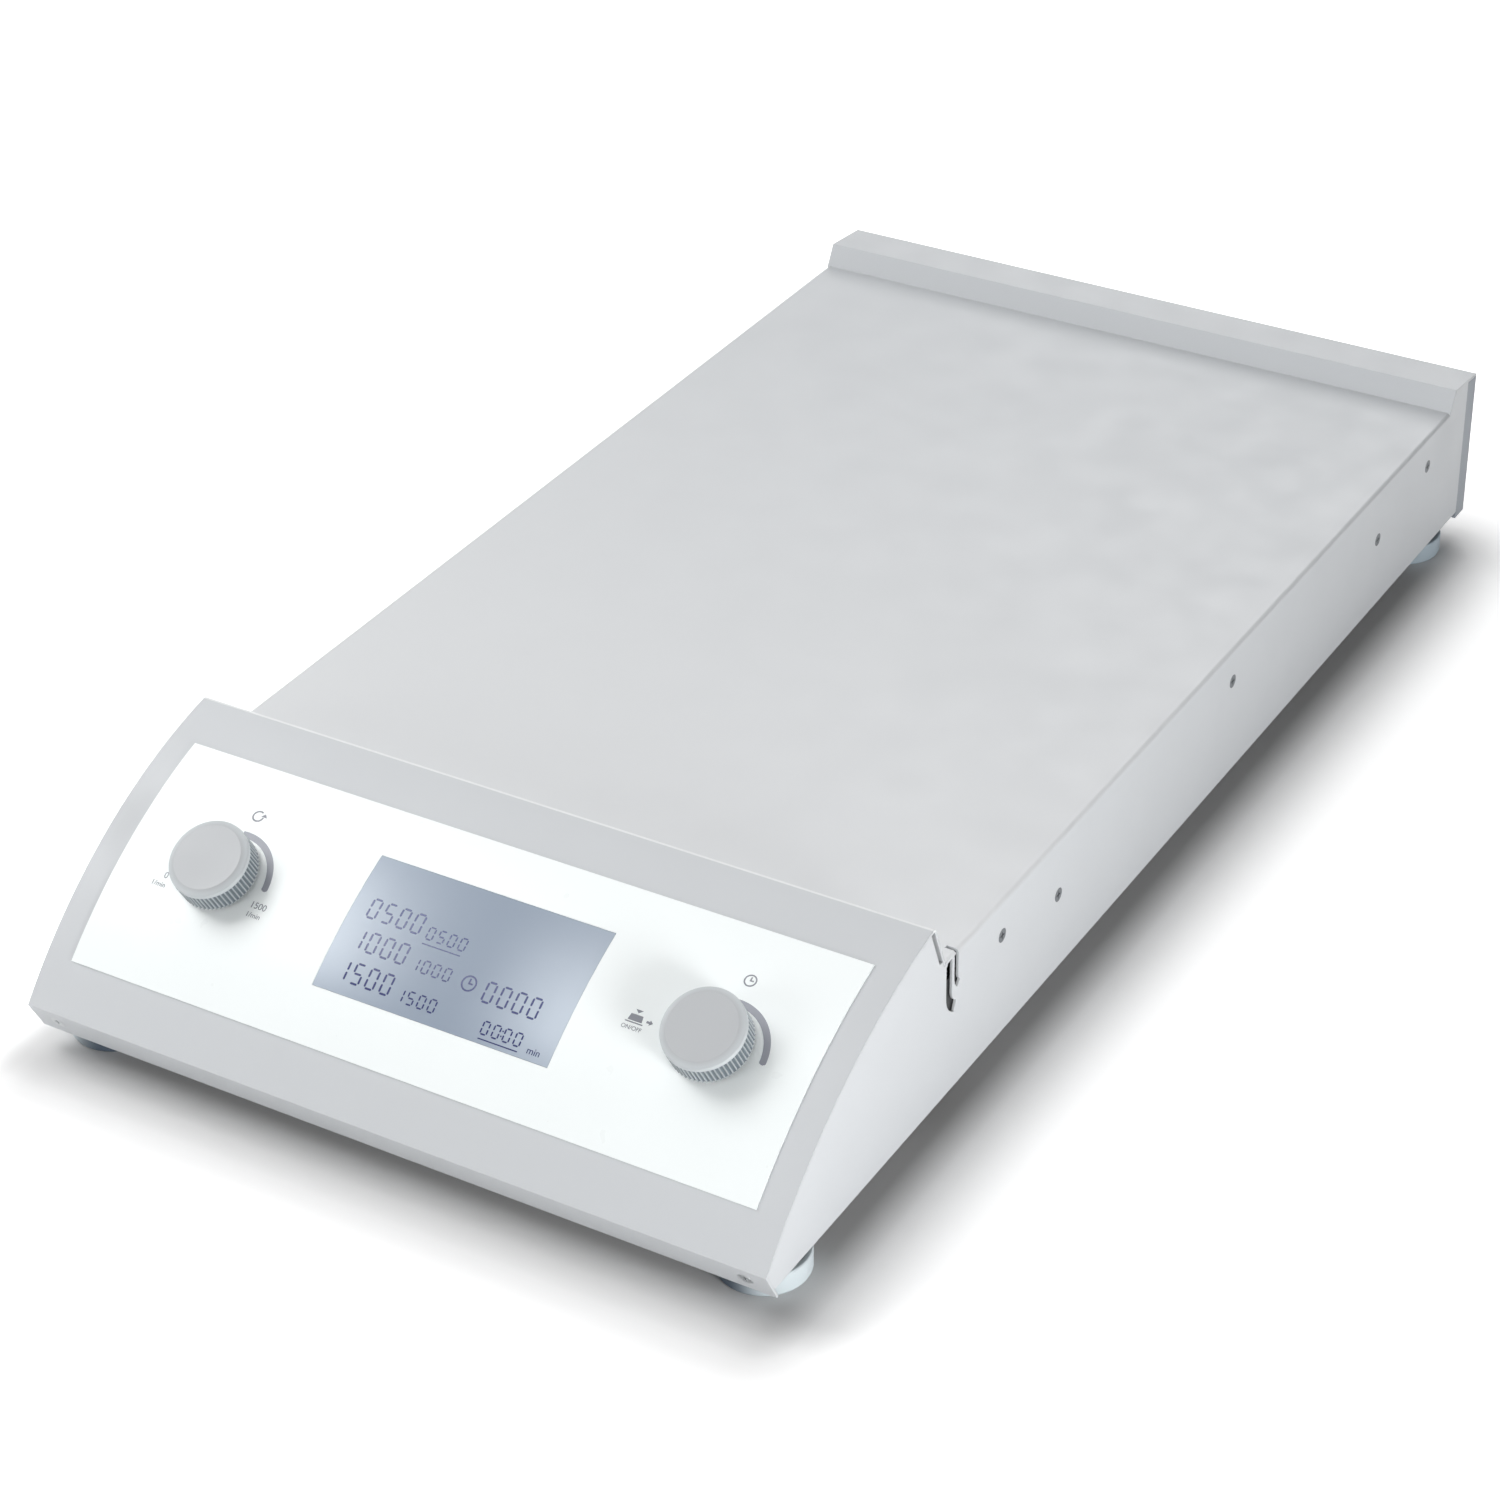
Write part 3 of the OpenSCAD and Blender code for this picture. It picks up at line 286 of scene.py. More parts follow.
def tray_with_painted_slit_shade(start, end):
    """Zinc sheet painted matt black between two depths: painted shade behind the open slits."""
    made = zinc_sheet("tray_with_painted_slit_shade")
    tree, shader, zinc = opened(made)
    depth = place_on(tree, "Y")
    # painted shade: black where the slits would show the lit tray
    painted_light_patch = reckon(tree, "MULTIPLY", reckon(tree, "GREATER_THAN", depth, start),
                   reckon(tree, "LESS_THAN", depth, end))
    tree.links.new(blend(tree, painted_light_patch, zinc, linear("101214")), shader.inputs["Base Color"])
    tree.links.new(reckon(tree, "SUBTRACT", 1.0, painted_light_patch), shader.inputs["Metallic"])
    return made


finishes["tray_with_painted_slit_shade"] = tray_with_painted_slit_shade(SLITS_FROM, SLITS_TO)
print("black for", round((SLITS_TO - SLITS_FROM) / MM), "mm behind the slits")

# %% [markdown]
# # Circuit boards
# A circuit board has copper tracks that shine through its green varnish. Drawing real tracks
# would cost much for a part deep inside, so a brick pattern with thin joints stands for them: its
# joints run along and across the board as tracks do. A clear coat gives the varnish its gloss.

# %% Green varnish over tracks
TRACKS_PER_METRE = 160.0
TRACK_WIDTH = 0.08


def circuit_board():
    """Green varnish with lighter tracks that run along the board."""
    made = finish("board", "1E5A34", 0.3, grain_size=0.002, edge=0.0002, coat=0.4)
    tree, shader, _ = opened(made)
    place = add(tree, "TexCoord")
    tracks = add(tree, "TexBrick", {"Scale": TRACKS_PER_METRE, "Mortar Size": TRACK_WIDTH,
                                    "Color1": linear("1C5230"), "Color2": linear("205C38"),
                                    "Mortar": linear("3C8A58")})
    tree.links.new(place.outputs["Object"], tracks.inputs["Vector"])
    tree.links.new(tracks.outputs["Color"], shader.inputs["Base Color"])
    return made


finishes["board"] = circuit_board()
print("made", finishes["board"].name)

# %% [markdown]
# # Rubber feet
# The feet are soft pale rubber that lets a little light in, which subsurface scattering does. Their
# inner sides, turned to the middle of the instrument, fall off to a blue grey, and the rear pair is
# bluer than the front pair: both are painted shade, for the shade under the body. The distance from
# the middle plane tells inner from outer for all four feet at once, so one material serves them all.

# %% Soft rubber with painted shade
INNER_SHADE_BEGINS, INNER_SHADE_FULL = 0.1445, 0.126
FRONT_PAIR, REAR_PAIR = -0.05, 0.05
LIGHT_SHARE, LIGHT_DEPTH = 0.15, 0.004


def foot_rubber():
    """Pale soft rubber with painted shade: bluer on the rear pair and grey on the sides turned inwards."""
    made = finish("foot_rubber", "D1DBDF", 0.5, drift=0.06, edge=0.0006)
    tree, shader, pale = opened(made)
    shader.inputs["Subsurface Weight"].default_value = LIGHT_SHARE
    shader.inputs["Subsurface Radius"].default_value = (LIGHT_DEPTH, LIGHT_DEPTH, LIGHT_DEPTH)
    shader.inputs["Subsurface Scale"].default_value = 1.0
    # painted shade: bluer towards the rear pair, grey on the inner sides
    rear = span(tree, place_on(tree, "Y"), FRONT_PAIR, REAR_PAIR)
    pairs_with_painted_shade = blend(tree, rear, pale, linear("AAB8C1"))
    off_middle = reckon(tree, "ABSOLUTE", place_on(tree, "X"))
    inner = span(tree, off_middle, INNER_SHADE_BEGINS, INNER_SHADE_FULL, interpolation_type="SMOOTHSTEP")
    tree.links.new(blend(tree, inner, pairs_with_painted_shade, linear("4C5866")), shader.inputs["Base Color"])
    return made


finishes["foot_rubber"] = foot_rubber()
print("feet go grey over", round((INNER_SHADE_BEGINS - INNER_SHADE_FULL) / MM, 1), "mm")

# %% [markdown]
# # The front film
# The hood wears a printed plastic film. It is almost pure white and smoother than the paint
# round it, so its relief is shallower, and its colour hardly drifts.

# %% Smooth white film
finishes["front_film"] = finish("front_film", "F9FEFE", 0.3, drift=0.01, grain_size=0.003,
                                grain_depth=0.000004, wander=0.03, edge=0.0002)
print(len(finishes), "finishes with the patterned ones")

# %% [markdown]
# Painted light on the deck
# The deck is lightest close behind the hood and falls off towards the back. The lamps alone light
# it too evenly, so this fall of light is painted: the grey slopes a little from light to darker
# along the depth. Only the faces that look up take part: the normal tells them from the side walls.

# %% Painted light that falls off along the deck
DECK_STARTS, DECK_ENDS = -0.165, 0.26
UPWARD_FROM, UPWARD_FULL = 0.1, 0.5


def deck_paint_with_painted_falloff():
    """Housing paint with painted light that goes from light to grey along the depth of the deck."""
    made = finish("deck_paint_with_painted_falloff", HOUSING_GREY, 0.5, drift=0.015)
    tree, shader, plain = opened(made)
    depth = span(tree, place_on(tree, "Y"), DECK_STARTS, DECK_ENDS)
    # painted light: lighter at the front of the deck, greyer at the back
    painted_falloff = blend(tree, depth, linear("D7D9DB"), linear("BDC0C3"))
    upward = span(tree, axis_of(tree, "NewGeometry", "Normal", "Z"), UPWARD_FROM, UPWARD_FULL)
    tree.links.new(blend(tree, upward, plain, painted_falloff), shader.inputs["Base Color"])
    return made


finishes["deck_paint_with_painted_falloff"] = deck_paint_with_painted_falloff()
print("the deck's shade slopes over", round((DECK_ENDS - DECK_STARTS) / MM), "mm")

# %% [markdown]
# Painted highlight on the hood
# The top of the hood is a narrow bend of two millimetres, and it shows as a thin bright line between
# hood and deck. That line is a painted highlight: the bend is coloured lighter. The rest of the hood
# is coloured a little darker than the housing paint, painted shade on the same paint. The line is
# found by its place: behind the start of the bend and above its lower end.

# %% Painted highlight on the fold
FOLD_BEGINS, FOLD_LOWEST, FOLD_SOFT = -0.1862, 0.0842, 0.0004


def hood_paint_with_painted_highlight():
    """Housing paint a little darker, as painted shade, with a painted highlight along the fold at the top of the
    hood.
    """
    # painted shade: a darker copy of the housing grey
    made = finish("hood_paint_with_painted_highlight", "CACDD0", 0.5, drift=0.015)
    tree, shader, plain = opened(made)
    behind = span(tree, place_on(tree, "Y"), FOLD_BEGINS, FOLD_BEGINS + FOLD_SOFT)
    above = span(tree, place_on(tree, "Z"), FOLD_LOWEST, FOLD_LOWEST + FOLD_SOFT)
    # painted highlight: the fold is coloured lighter
    fold = reckon(tree, "MULTIPLY", behind, above)
    tree.links.new(blend(tree, fold, plain, linear("E7E9EA")), shader.inputs["Base Color"])
    return made


finishes["hood_paint_with_painted_highlight"] = hood_paint_with_painted_highlight()
print("the fold shines above", FOLD_LOWEST / MM, "mm")

# %% [markdown]
# # The display
# The display is a liquid crystal cell behind a clear window. Its ground is blue grey, and it carries
# two painted reflections: a strong one at its left edge and a softer one at the right.
# The patches are tied to the window's own width and height, so they stay on the glass when the
# view changes. Each is strongest in the middle of the height and fades above and below.

# %% Levels across and up the window
ACROSS_STOPS = [(0.0, 1.0), (0.13, 0.62), (0.33, 0.14), (0.5, 0.0), (0.62, 0.02), (0.76, 0.34),
                (0.9, 0.68), (1.0, 0.82)]
UPWARD_STOPS = [(0.0, 0.3), (0.2, 0.85), (0.42, 1.0), (0.75, 0.8), (1.0, 0.25)]
window_low, window_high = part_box("display_window")


def level(tree, value, stops):
    """Turns a value from 0 to 1 into a level that runs smoothly through these stops."""
    ramp = add(tree, "ValToRGB")
    ramp.color_ramp.interpolation = "B_SPLINE"
    for stop, _ in stops[1:-1]:
        ramp.color_ramp.elements.new(stop)
    for element, (stop, height) in zip(ramp.color_ramp.elements, stops):
        element.position = stop
        element.color = (height, height, height, 1)
    tree.links.new(value, ramp.inputs["Fac"])
    return ramp.outputs["Color"]


print("window", [round(side / MM, 1) for side in window_high - window_low], "mm")

# %% [markdown]
# # The display's ground
# The two levels are multiplied into one patch, and the patch blends the ground towards a pale
# sky blue: painted reflections. Real reflections from the lamps would change with the view and hide
# the digits, so the window keeps only little gloss of its own.

# %% Ground of the display
WINDOW_GLOSS = 0.12


def display_with_painted_reflections():
    """Blue grey ground with two painted reflections, placed by the window's own box."""
    made = finish("display_window", "99A5B5", 0.3, wander=0.02, grain_depth=0.000002, edge=0)
    tree, shader, ground = opened(made)
    shader.inputs["Specular IOR Level"].default_value = WINDOW_GLOSS
    across = span(tree, place_on(tree, "X"), window_low.x, window_high.x)
    upwards = span(tree, place_on(tree, "Z"), window_low.z, window_high.z)
    # painted reflections: two bright patches blended into the ground
    painted_light_patch = reckon(tree, "MULTIPLY", level(tree, across, ACROSS_STOPS),
                   level(tree, upwards, UPWARD_STOPS))
    tree.links.new(blend(tree, painted_light_patch, ground, linear("DAE4EF")), shader.inputs["Base Color"])
    return made


finishes["display_window"] = display_with_painted_reflections()
print("ground with", len(ACROSS_STOPS), "stops across and", len(UPWARD_STOPS), "upwards")

# %% [markdown]
# # Dressing the measured parts
# Each measured part already names the finish it should have, in the record that came with it.
# So one loop hands out all the materials, and a part that is added later gets its own as well.
# Three parts then change to a finish that was made for them alone.

# %% Hand out the finishes
OWN_FINISHES = {"base_tray": "tray_with_painted_slit_shade", "deck_cover": "deck_paint_with_painted_falloff",
                "front_hood": "hood_paint_with_painted_highlight"}

for part in frame["record"]["subparts"]:
    shape = frame["nodes"][part["node"]]
    shape.data.materials.clear()
    shape.data.materials.append(finishes[part["material_slot"]])
for node, own in OWN_FINISHES.items():
    frame["nodes"][node].data.materials[0] = finishes[own]

# %% [markdown]
# # Fluted knobs
# A knob's face is plain, its bevel catches light, and its flutes hold shade. Both are painted
# here: a painted highlight on the bevel and painted shade in the flutes. Such shade could be painted
# by hand. Here the material works out how far a point is from the knob's own axis: the bottoms of
# the flutes lie half a millimetre deeper than their crests, so distance alone tells them apart, and
# it stays right while the knob turns.

# %% Distance from an axis
def vector_step(tree, kind, first, second, output="Value"):
    """A vector step between a socket and a fixed vector."""
    made = add(tree, "VectorMath", operation=kind)
    tree.links.new(first, made.inputs[0])
    if second is not None:
        made.inputs[1].default_value = second
    return made.outputs[output]


def along_and_off(tree, joint):
    """How far a point is along a joint's axis, and how far off it."""
    place = add(tree, "TexCoord")
    arm = vector_step(tree, "SUBTRACT", place.outputs["Object"], joint["pos_m"], "Vector")
    rise = vector_step(tree, "DOT_PRODUCT", arm, joint["axis"])
    across = vector_step(tree, "CROSS_PRODUCT", arm, joint["axis"], "Vector")
    return rise, vector_step(tree, "LENGTH", across, None)


print("the speed knob's axis", [round(part, 3) for part in joints["speed_knob_turn"]["axis"]])

# %% [markdown]
# # Plastic of the knobs
# Three shades lie over each other: the face, a slightly lighter ring where the bevel begins, which
# is a painted highlight, and the painted shade in the flutes. Crests get a little of that painted
# shade too. Above the flutes the rim is plain again.

# %% Plastic with painted shade in the flutes
KNOB_RADIUS = 14.8 * MM
BEVEL_FROM, BEVEL_TO = 0.83, 0.93
FLUTE_DEPTH = 0.5 * MM
DARKEST_AT = 0.8
FLUTE_TOP = 9.4 * MM
CREST_SHADE = 0.22


def knob_with_painted_light(name, joint):
    """Grey plastic with a painted highlight on the bevel and painted shade in the flutes round the axis of this
    joint.
    """
    made = finish(name, "B6B9BC", 0.42, grain_size=0.0005, edge=0.00025)
    tree, shader, face = opened(made)
    rise, reach = along_and_off(tree, joint)
    # painted highlight on the bevel, painted shade in the flutes and a little on the crests
    bevel = span(tree, reach, BEVEL_FROM * KNOB_RADIUS, BEVEL_TO * KNOB_RADIUS)
    flute_painted_shade = span(tree, reach, KNOB_RADIUS, KNOB_RADIUS - DARKEST_AT * FLUTE_DEPTH,
                  CREST_SHADE, 1.0)
    painted_shade_below_rim = reckon(tree, "MULTIPLY", flute_painted_shade, reckon(tree, "LESS_THAN", rise, FLUTE_TOP))
    smooth = blend(tree, bevel, face, linear("C0C5C8"))
    tree.links.new(blend(tree, painted_shade_below_rim, smooth, linear("656F76")), shader.inputs["Base Color"])
    return made


for knob in ("speed_knob", "time_knob"):
    own = knob_with_painted_light(knob + "_plastic", joints[knob + "_turn"])
    frame["nodes"][knob].data.materials[0] = own
    print("dressed", knob, "with", own.name)

# %% [markdown]
# # Places on the curved panel
# The panel is a strip of a round drum. A place on it has a distance to the right of the middle
# and a distance along the curve from the front bend, as a tape measure laid on it would read.
# The knob's joint stands square on the drum, so the drum's centre lies below it on the joint's
# axis, and every print can be wrapped onto the drum from there.

# %% Find the drum and wrap points onto it
HOOD_RADIUS = 190 * MM
FILM_THICK = 0.5 * MM
KNOB_AT = 65.2 * MM

knob_axis = Vector(joints["speed_knob_turn"]["axis"])
drum = Vector(joints["speed_knob_turn"]["pos_m"]) - HOOD_RADIUS * knob_axis
knob_angle = atan2(knob_axis.z, knob_axis.y)
print("drum centre", [round(part, 4) for part in drum])
print("knob at", round(degrees(knob_angle), 1), "degrees")


def on_panel(x, along, lift):
    """The point x to the right and along the curve, lifted above the film."""
    angle = knob_angle - (along - KNOB_AT) / HOOD_RADIUS
    reach = HOOD_RADIUS + FILM_THICK + lift
    return Vector((x, drum.y + reach * cos(angle), drum.z + reach * sin(angle)))


# %% [markdown]
# # Printing on the panel
# A print is a very thin layer of ink. It could be a pattern in the film's material, but small
# curves and digits come out cleaner as thin solids that lie on the film. Each print is drawn
# flat, cut across every two millimetres so that it can bend, thickened, and then wrapped.

# %% Make a print from flat faces
INK_THICK = 0.05 * MM
INK_SUNK = 0.02 * MM
BEND_STEP = 2 * MM
WELD_WITHIN = 0.001 * MM


def thicken(flat):
    """Cuts flat faces across, so that they can bend, and gives them the thickness of ink."""
    bmesh.ops.remove_doubles(flat, verts=flat.verts[:], dist=WELD_WITHIN)
    lowest = min(v.co.y for v in flat.verts)
    highest = max(v.co.y for v in flat.verts)
    for cut in range(int(lowest / BEND_STEP) + 1, int(highest / BEND_STEP) + 1):
        everything = flat.verts[:] + flat.edges[:] + flat.faces[:]
        bmesh.ops.bisect_plane(flat, geom=everything, plane_co=(0, cut * BEND_STEP, 0),
                               plane_no=(0, 1, 0))
    grown = bmesh.ops.extrude_face_region(flat, geom=flat.faces[:])
    for item in grown["geom"]:
        if isinstance(item, bmesh.types.BMVert):
            item.co.z += INK_THICK
    bmesh.ops.recalc_face_normals(flat, faces=flat.faces[:])


def wrap_print(name, flat, material, place=on_panel, body="housing"):
    """Turns flat faces, drawn in metres, into a thin print where place puts them."""
    thicken(flat)
    for v in flat.verts:
        v.co = place(v.co.x, v.co.y, v.co.z - INK_SUNK)
    mesh = bpy.data.meshes.new(name)
    flat.to_mesh(mesh)
    flat.free()
    mesh.materials.append(material)
    piece = bpy.data.objects.new(name, mesh)
    bpy.context.scene.collection.objects.link(piece)
    print("printed", name, "with", len(mesh.polygons), "faces")
    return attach(piece, body)


print("prints can bend every", BEND_STEP / MM, "mm")

# %% [markdown]
# # Drawing flat shapes
# All prints come from three shapes: a face with given corners, a band round a centre, and a bar
# with plain or pointed ends. They are drawn in millimetres, as a print shop's drawing would be,
# and turned into metres where the corners are made.

# %% Faces, arcs and bars
def draw(flat, corners):
    """Adds one flat face with these corners, given in millimetres."""
    flat.faces.new([flat.verts.new((x * MM, y * MM, 0)) for x, y in corners])


def draw_arc(flat, centre, inner, outer, start, end, steps=24):
    """Adds a flat band between two radii, from one angle in degrees to another."""
    turns = [radians(start + (end - start) * step / steps) for step in range(steps + 1)]
    for first, second in zip(turns, turns[1:]):
        corners = [(inner, first), (outer, first), (outer, second), (inner, second)]
        draw(flat, [(centre[0] + r * cos(a), centre[1] + r * sin(a)) for r, a in corners])


def draw_bar(flat, start, end, width, point=0.0):
    """Adds a flat bar from start to end; point is how far its ends run out to a tip."""
    a, b = Vector(start), Vector(end)
    run = (b - a).normalized()
    side = Vector((-run.y, run.x)) * width / 2
    corners = [a + side, a - side, b - side, b + side]
    if point:
        corners = [a + side + run * point, a, a - side + run * point,
                   b - side - run * point, b, b + side - run * point]
    draw(flat, corners)


print("an ink layer is", INK_THICK / MM, "mm thick")

# %% [markdown]
# # Arcs beside the knobs
# A grey arc runs round each knob's right side and tells which way to turn it. It has one radius
# at each side, so a band between two radii is all it needs, and two short narrower bands round
# off its lower end. The ink is a plain finish with hardly any relief.

# %% Ink, and the arcs round the knobs
ARC_INNER, ARC_OUTER = 16.1, 18.5
ARC_CENTRES = {"speed_dial_arc": (-95.0, 64.0), "time_dial_arc": (101.2, 63.4)}
ARC_BANDS = [(0.0, 96, 1, 24), (0.2, 1, 0, 1), (0.7, 0, -0.8, 1)]


def ink(name, colour):
    """Smooth ink with a slight drift."""
    return finish(name, colour, 0.4, drift=0.05, drift_size=0.004, grain_size=0.0004,
                  grain_depth=0.000002, edge=0)


finishes["panel_ink"] = ink("panel_ink", "7E818A")
finishes["arc_ink"] = ink("arc_ink", "9C9FA9")
for name, centre in ARC_CENTRES.items():
    flat = bmesh.new()
    for narrower, start, end, steps in ARC_BANDS:
        draw_arc(flat, centre, ARC_INNER + narrower, ARC_OUTER - narrower, start, end, steps)
    wrap_print(name, flat, finishes["arc_ink"])

# %% [markdown]
# # Numbers beside the left knob
# Where the arc begins stands the lowest speed, and where it ends the highest, in turns a minute.
# Blender can fill letters from a font, so a text is made, turned into a mesh, moved to its place
# and added to the other faces of the print. The text object itself is thrown away again.

# %% Numbers as flat faces
CAPITAL_SHARE = 0.72
DIAL_NUMBERS = [("1500", 2.4, (-76.6, 57.2)), ("1/min", 1.9, (-76.9, 53.8)),
                ("0", 2.4, (-115.6, 57.0)), ("1/min", 1.9, (-117.0, 53.6))]


def draw_text(flat, words, size, at):
    """Adds flat letters of this height in millimetres, centred on a place on the panel."""
    curve = bpy.data.curves.new("words", "FONT")
    curve.body = words
    curve.size = size * MM / CAPITAL_SHARE
    curve.align_x = "CENTER"
    letters = bpy.data.objects.new("words", curve)
    mesh = bpy.data.meshes.new_from_object(letters)
    mesh.transform(Matrix.Translation((at[0] * MM, at[1] * MM, 0)))
    flat.from_mesh(mesh)
    bpy.data.objects.remove(letters)
    bpy.data.curves.remove(curve)
    bpy.data.meshes.remove(mesh)


flat = bmesh.new()
for words, size, at in DIAL_NUMBERS:
    draw_text(flat, words, size, at)
wrap_print("speed_dial_numbers", flat, finishes["panel_ink"])

# %% [markdown]
# # Signs for speed and time
# Above each knob stands a small sign where a word would be: a turning arrow for the speed and a
# clock for the time, because signs need no language. Both are a ring with a few straight faces.

# %% Turning arrow and clock
LONG_HAND, SHORT_HAND = 0.62, 0.5
SPEED_SIGN_AT, TIME_SIGN_AT = (-95.4, 89.4), (101.0, 89.4)
ARROW_HEAD = [(-94.4, 89.6), (-92.0, 89.6), (-93.2, 91.0)]


def draw_clock(flat, centre, radius, line):
    """Adds a clock: a ring and two hands, which are shares of its radius."""
    x, y = centre
    draw_arc(flat, centre, radius - line, radius, 0, 360, 36)
    draw_bar(flat, centre, (x, y + radius * LONG_HAND), line)
    draw_bar(flat, (x - line / 2, y), (x + radius * SHORT_HAND, y), line)


flat = bmesh.new()
draw_arc(flat, SPEED_SIGN_AT, 1.7, 2.3, 60, 360)
draw(flat, ARROW_HEAD)
wrap_print("speed_sign", flat, finishes["panel_ink"])
flat = bmesh.new()
draw_clock(flat, TIME_SIGN_AT, 2.3, 0.5)
wrap_print("time_sign", flat, finishes["panel_ink"])

# %% [markdown]
# # Sign for the push switch
# The right knob is also a button: pushed, it switches the stirring on and off. Left of it stands
# a sign of a knob on its seat with an arrow above it and another beside it. Each part of the sign
# is one face, and the words ON/OFF stand below.

# %% Sign under the right knob
PUSH_SIGN = {
    "knob": [(68.3, 63.3), (73.6, 63.3), (73.2, 65.6), (68.7, 65.6)],
    "seat": [(67.6, 62.5), (74.2, 62.5), (74.2, 62.9), (67.6, 62.9)],
    "push arrow": [(71.0, 66.2), (72.4, 67.4), (69.6, 67.4)],
    "side shaft": [(75.0, 63.9), (76.2, 63.9), (76.2, 64.7), (75.0, 64.7)],
    "side arrow": [(76.2, 63.3), (77.4, 64.3), (76.2, 65.3)],
}

flat = bmesh.new()
for corners in PUSH_SIGN.values():
    draw(flat, corners)
draw_text(flat, "ON/OFF", 1.5, (70.9, 60.1))
wrap_print("push_sign", flat, finishes["panel_ink"])

# %% [markdown]
# # Digits on the display
# The display shows a running speed and a set speed for each column of places, and a time. Its
# digits are made of seven bars with small gaps, as liquid crystal digits are. One function draws
# a digit from the letters of its bars, and rows of digits are placed from a short list.

# %% Seven bar digits
BARS = {"0": "abcdef", "1": "bc", "5": "acdfg"}
BAR_CORNERS = {"A": (0, 1), "B": (1, 1), "C": (1, 0.5), "D": (1, 0), "E": (0, 0), "F": (0, 0.5)}
BAR_ENDS = {"a": "AB", "b": "BC", "c": "CD", "d": "ED", "e": "FE", "f": "AF", "g": "FC"}
DIGIT_WIDTH, BAR_GAP, BAR_TIP = 0.56, 0.35, 0.45


def draw_digits(flat, digits, left, base, height, pitch, stroke):
    """Adds a row of seven bar digits, standing on base and starting at left, in millimetres."""
    width = pitch * DIGIT_WIDTH
    for place, digit in enumerate(digits):
        for bar in BARS[digit]:
            first, second = [Vector((left + place * pitch + BAR_CORNERS[end][0] * width,
                                     base + stroke / 2 + BAR_CORNERS[end][1] * (height - stroke)))
                             for end in BAR_ENDS[bar]]
            gap = (second - first).normalized() * stroke * BAR_GAP
            draw_bar(flat, first + gap, second - gap, stroke, stroke * BAR_TIP)


print("digits known:", " ".join(BARS))

# %% [markdown]
# # Ink of the display
# Liquid crystal has no colour of its own: the digits look navy because light is held back there.
# Towards the top of the display they look paler in the picture, so the ink blends along the
# window's height.

# %% Navy ink
def display_ink():
    """Navy digits that are paler towards the top of the display."""
    made = finish("display_ink", "2C3C70", 0.22, grain_depth=0.000002, wander=0.02, edge=0)
    tree, shader, _ = opened(made)
    upwards = span(tree, place_on(tree, "Z"), window_low.z, window_high.z)
    shades = blend(tree, upwards, linear("020C5C"), linear("35467F"))
    tree.links.new(shades, shader.inputs["Base Color"])
    return made


finishes["display_ink"] = display_ink()
print(len(finishes), "finishes with the inks")

# %% [markdown]
# # Writing the display
# Large digits show what runs and small ones what is set, one row for each column of places. At
# the right stands the time beside a clock, and below it the set time with its colon. Two thin
# lines mark the values that the knobs change at the moment.

# %% Write the display
LARGE = {"height": 7.8, "pitch": 5.9, "stroke": 0.74}
SMALL = {"height": 5.0, "pitch": 4.25, "stroke": 0.56}
RUNS_AT, SET_AT = (-37.2, 66.9), (-12.8, 66.4)
ROW_DOWN_LARGE, ROW_DOWN_SMALL = 11.65, 11.6
COLON_X, COLON_DOTS = 29.25, [(43.6, 44.1), (45.4, 45.9)]

flat = bmesh.new()
for row, digits in enumerate(("0500", "1000", "1500")):
    draw_digits(flat, digits, RUNS_AT[0], RUNS_AT[1] - row * ROW_DOWN_LARGE, **LARGE)
    draw_digits(flat, digits, SET_AT[0], SET_AT[1] - row * ROW_DOWN_SMALL, **SMALL)
draw_digits(flat, "0000", 16.8, 52.4, **LARGE)
draw_digits(flat, "0000", 21.6, 42.2, **SMALL)
for low, high in COLON_DOTS:
    draw_bar(flat, (COLON_X, low), (COLON_X, high), 0.5)
draw_bar(flat, (-13.0, 64.8), (2.2, 64.8), 0.4)
draw_bar(flat, (21.6, 40.8), (37.0, 40.8), 0.4)
draw_clock(flat, (10.0, 57.0), 2.9, 0.6)
draw_text(flat, "min", 2.5, (42.6, 41.4))
wrap_print("display_digits", flat, finishes["display_ink"])

# %% [markdown]
# # Marks on the power switch
# A rocker switch wears a stroke on the half that turns it on and a ring on the half that turns
# it off. The two halves lean towards each other, and the marks are printed on the rocker itself,
# so they must tip with it. The rocker's halves are found from its pivot, as a drawing gives them.

# %% Stroke and ring on the rocker
ROCKER_TILT = radians(10)
ROCKER_CREASE = 2.9 * MM
ROCKER_RISE, ROCKER_HALF = 1.3, 7.9
ROCKER_LEAN = atan2(ROCKER_RISE, ROCKER_HALF)

pivot = Vector(joints["power_switch"]["pos_m"])


def on_rocker(x, along, lift):
    """The point x to the right and along the height from the crease, lifted above the face."""
    side = 1 if along > 0 else -1
    depth = ROCKER_CREASE + abs(along) * sin(ROCKER_LEAN) + lift * cos(ROCKER_LEAN)
    height = along * cos(ROCKER_LEAN) - side * lift * sin(ROCKER_LEAN)
    turned = Vector((x, depth, height))
    turned.rotate(Matrix.Rotation(ROCKER_TILT, 3, "X"))
    return pivot + turned


finishes["switch_ink"] = ink("switch_ink", "E6E9EB")
flat = bmesh.new()
draw_bar(flat, (0, 2.4), (0, 6.0), 0.6)
draw_arc(flat, (0, -4.2), 1.3, 1.9, 0, 360, 32)
wrap_print("switch_marks", flat, finishes["switch_ink"], on_rocker,
           "power_rocker")

# %% [markdown]
# # What the camera sees directly
# The picture was taken on a white ground, with soft light from the left and a long soft shadow to
# the right. A white floor could be lit until it burns out, but that would also bleach the
# instrument. So the lamps stay modest, and floor and world add light of their own that only the
# camera and mirror-like or clear surfaces see. Every ray knows its kind, and one node asks it.

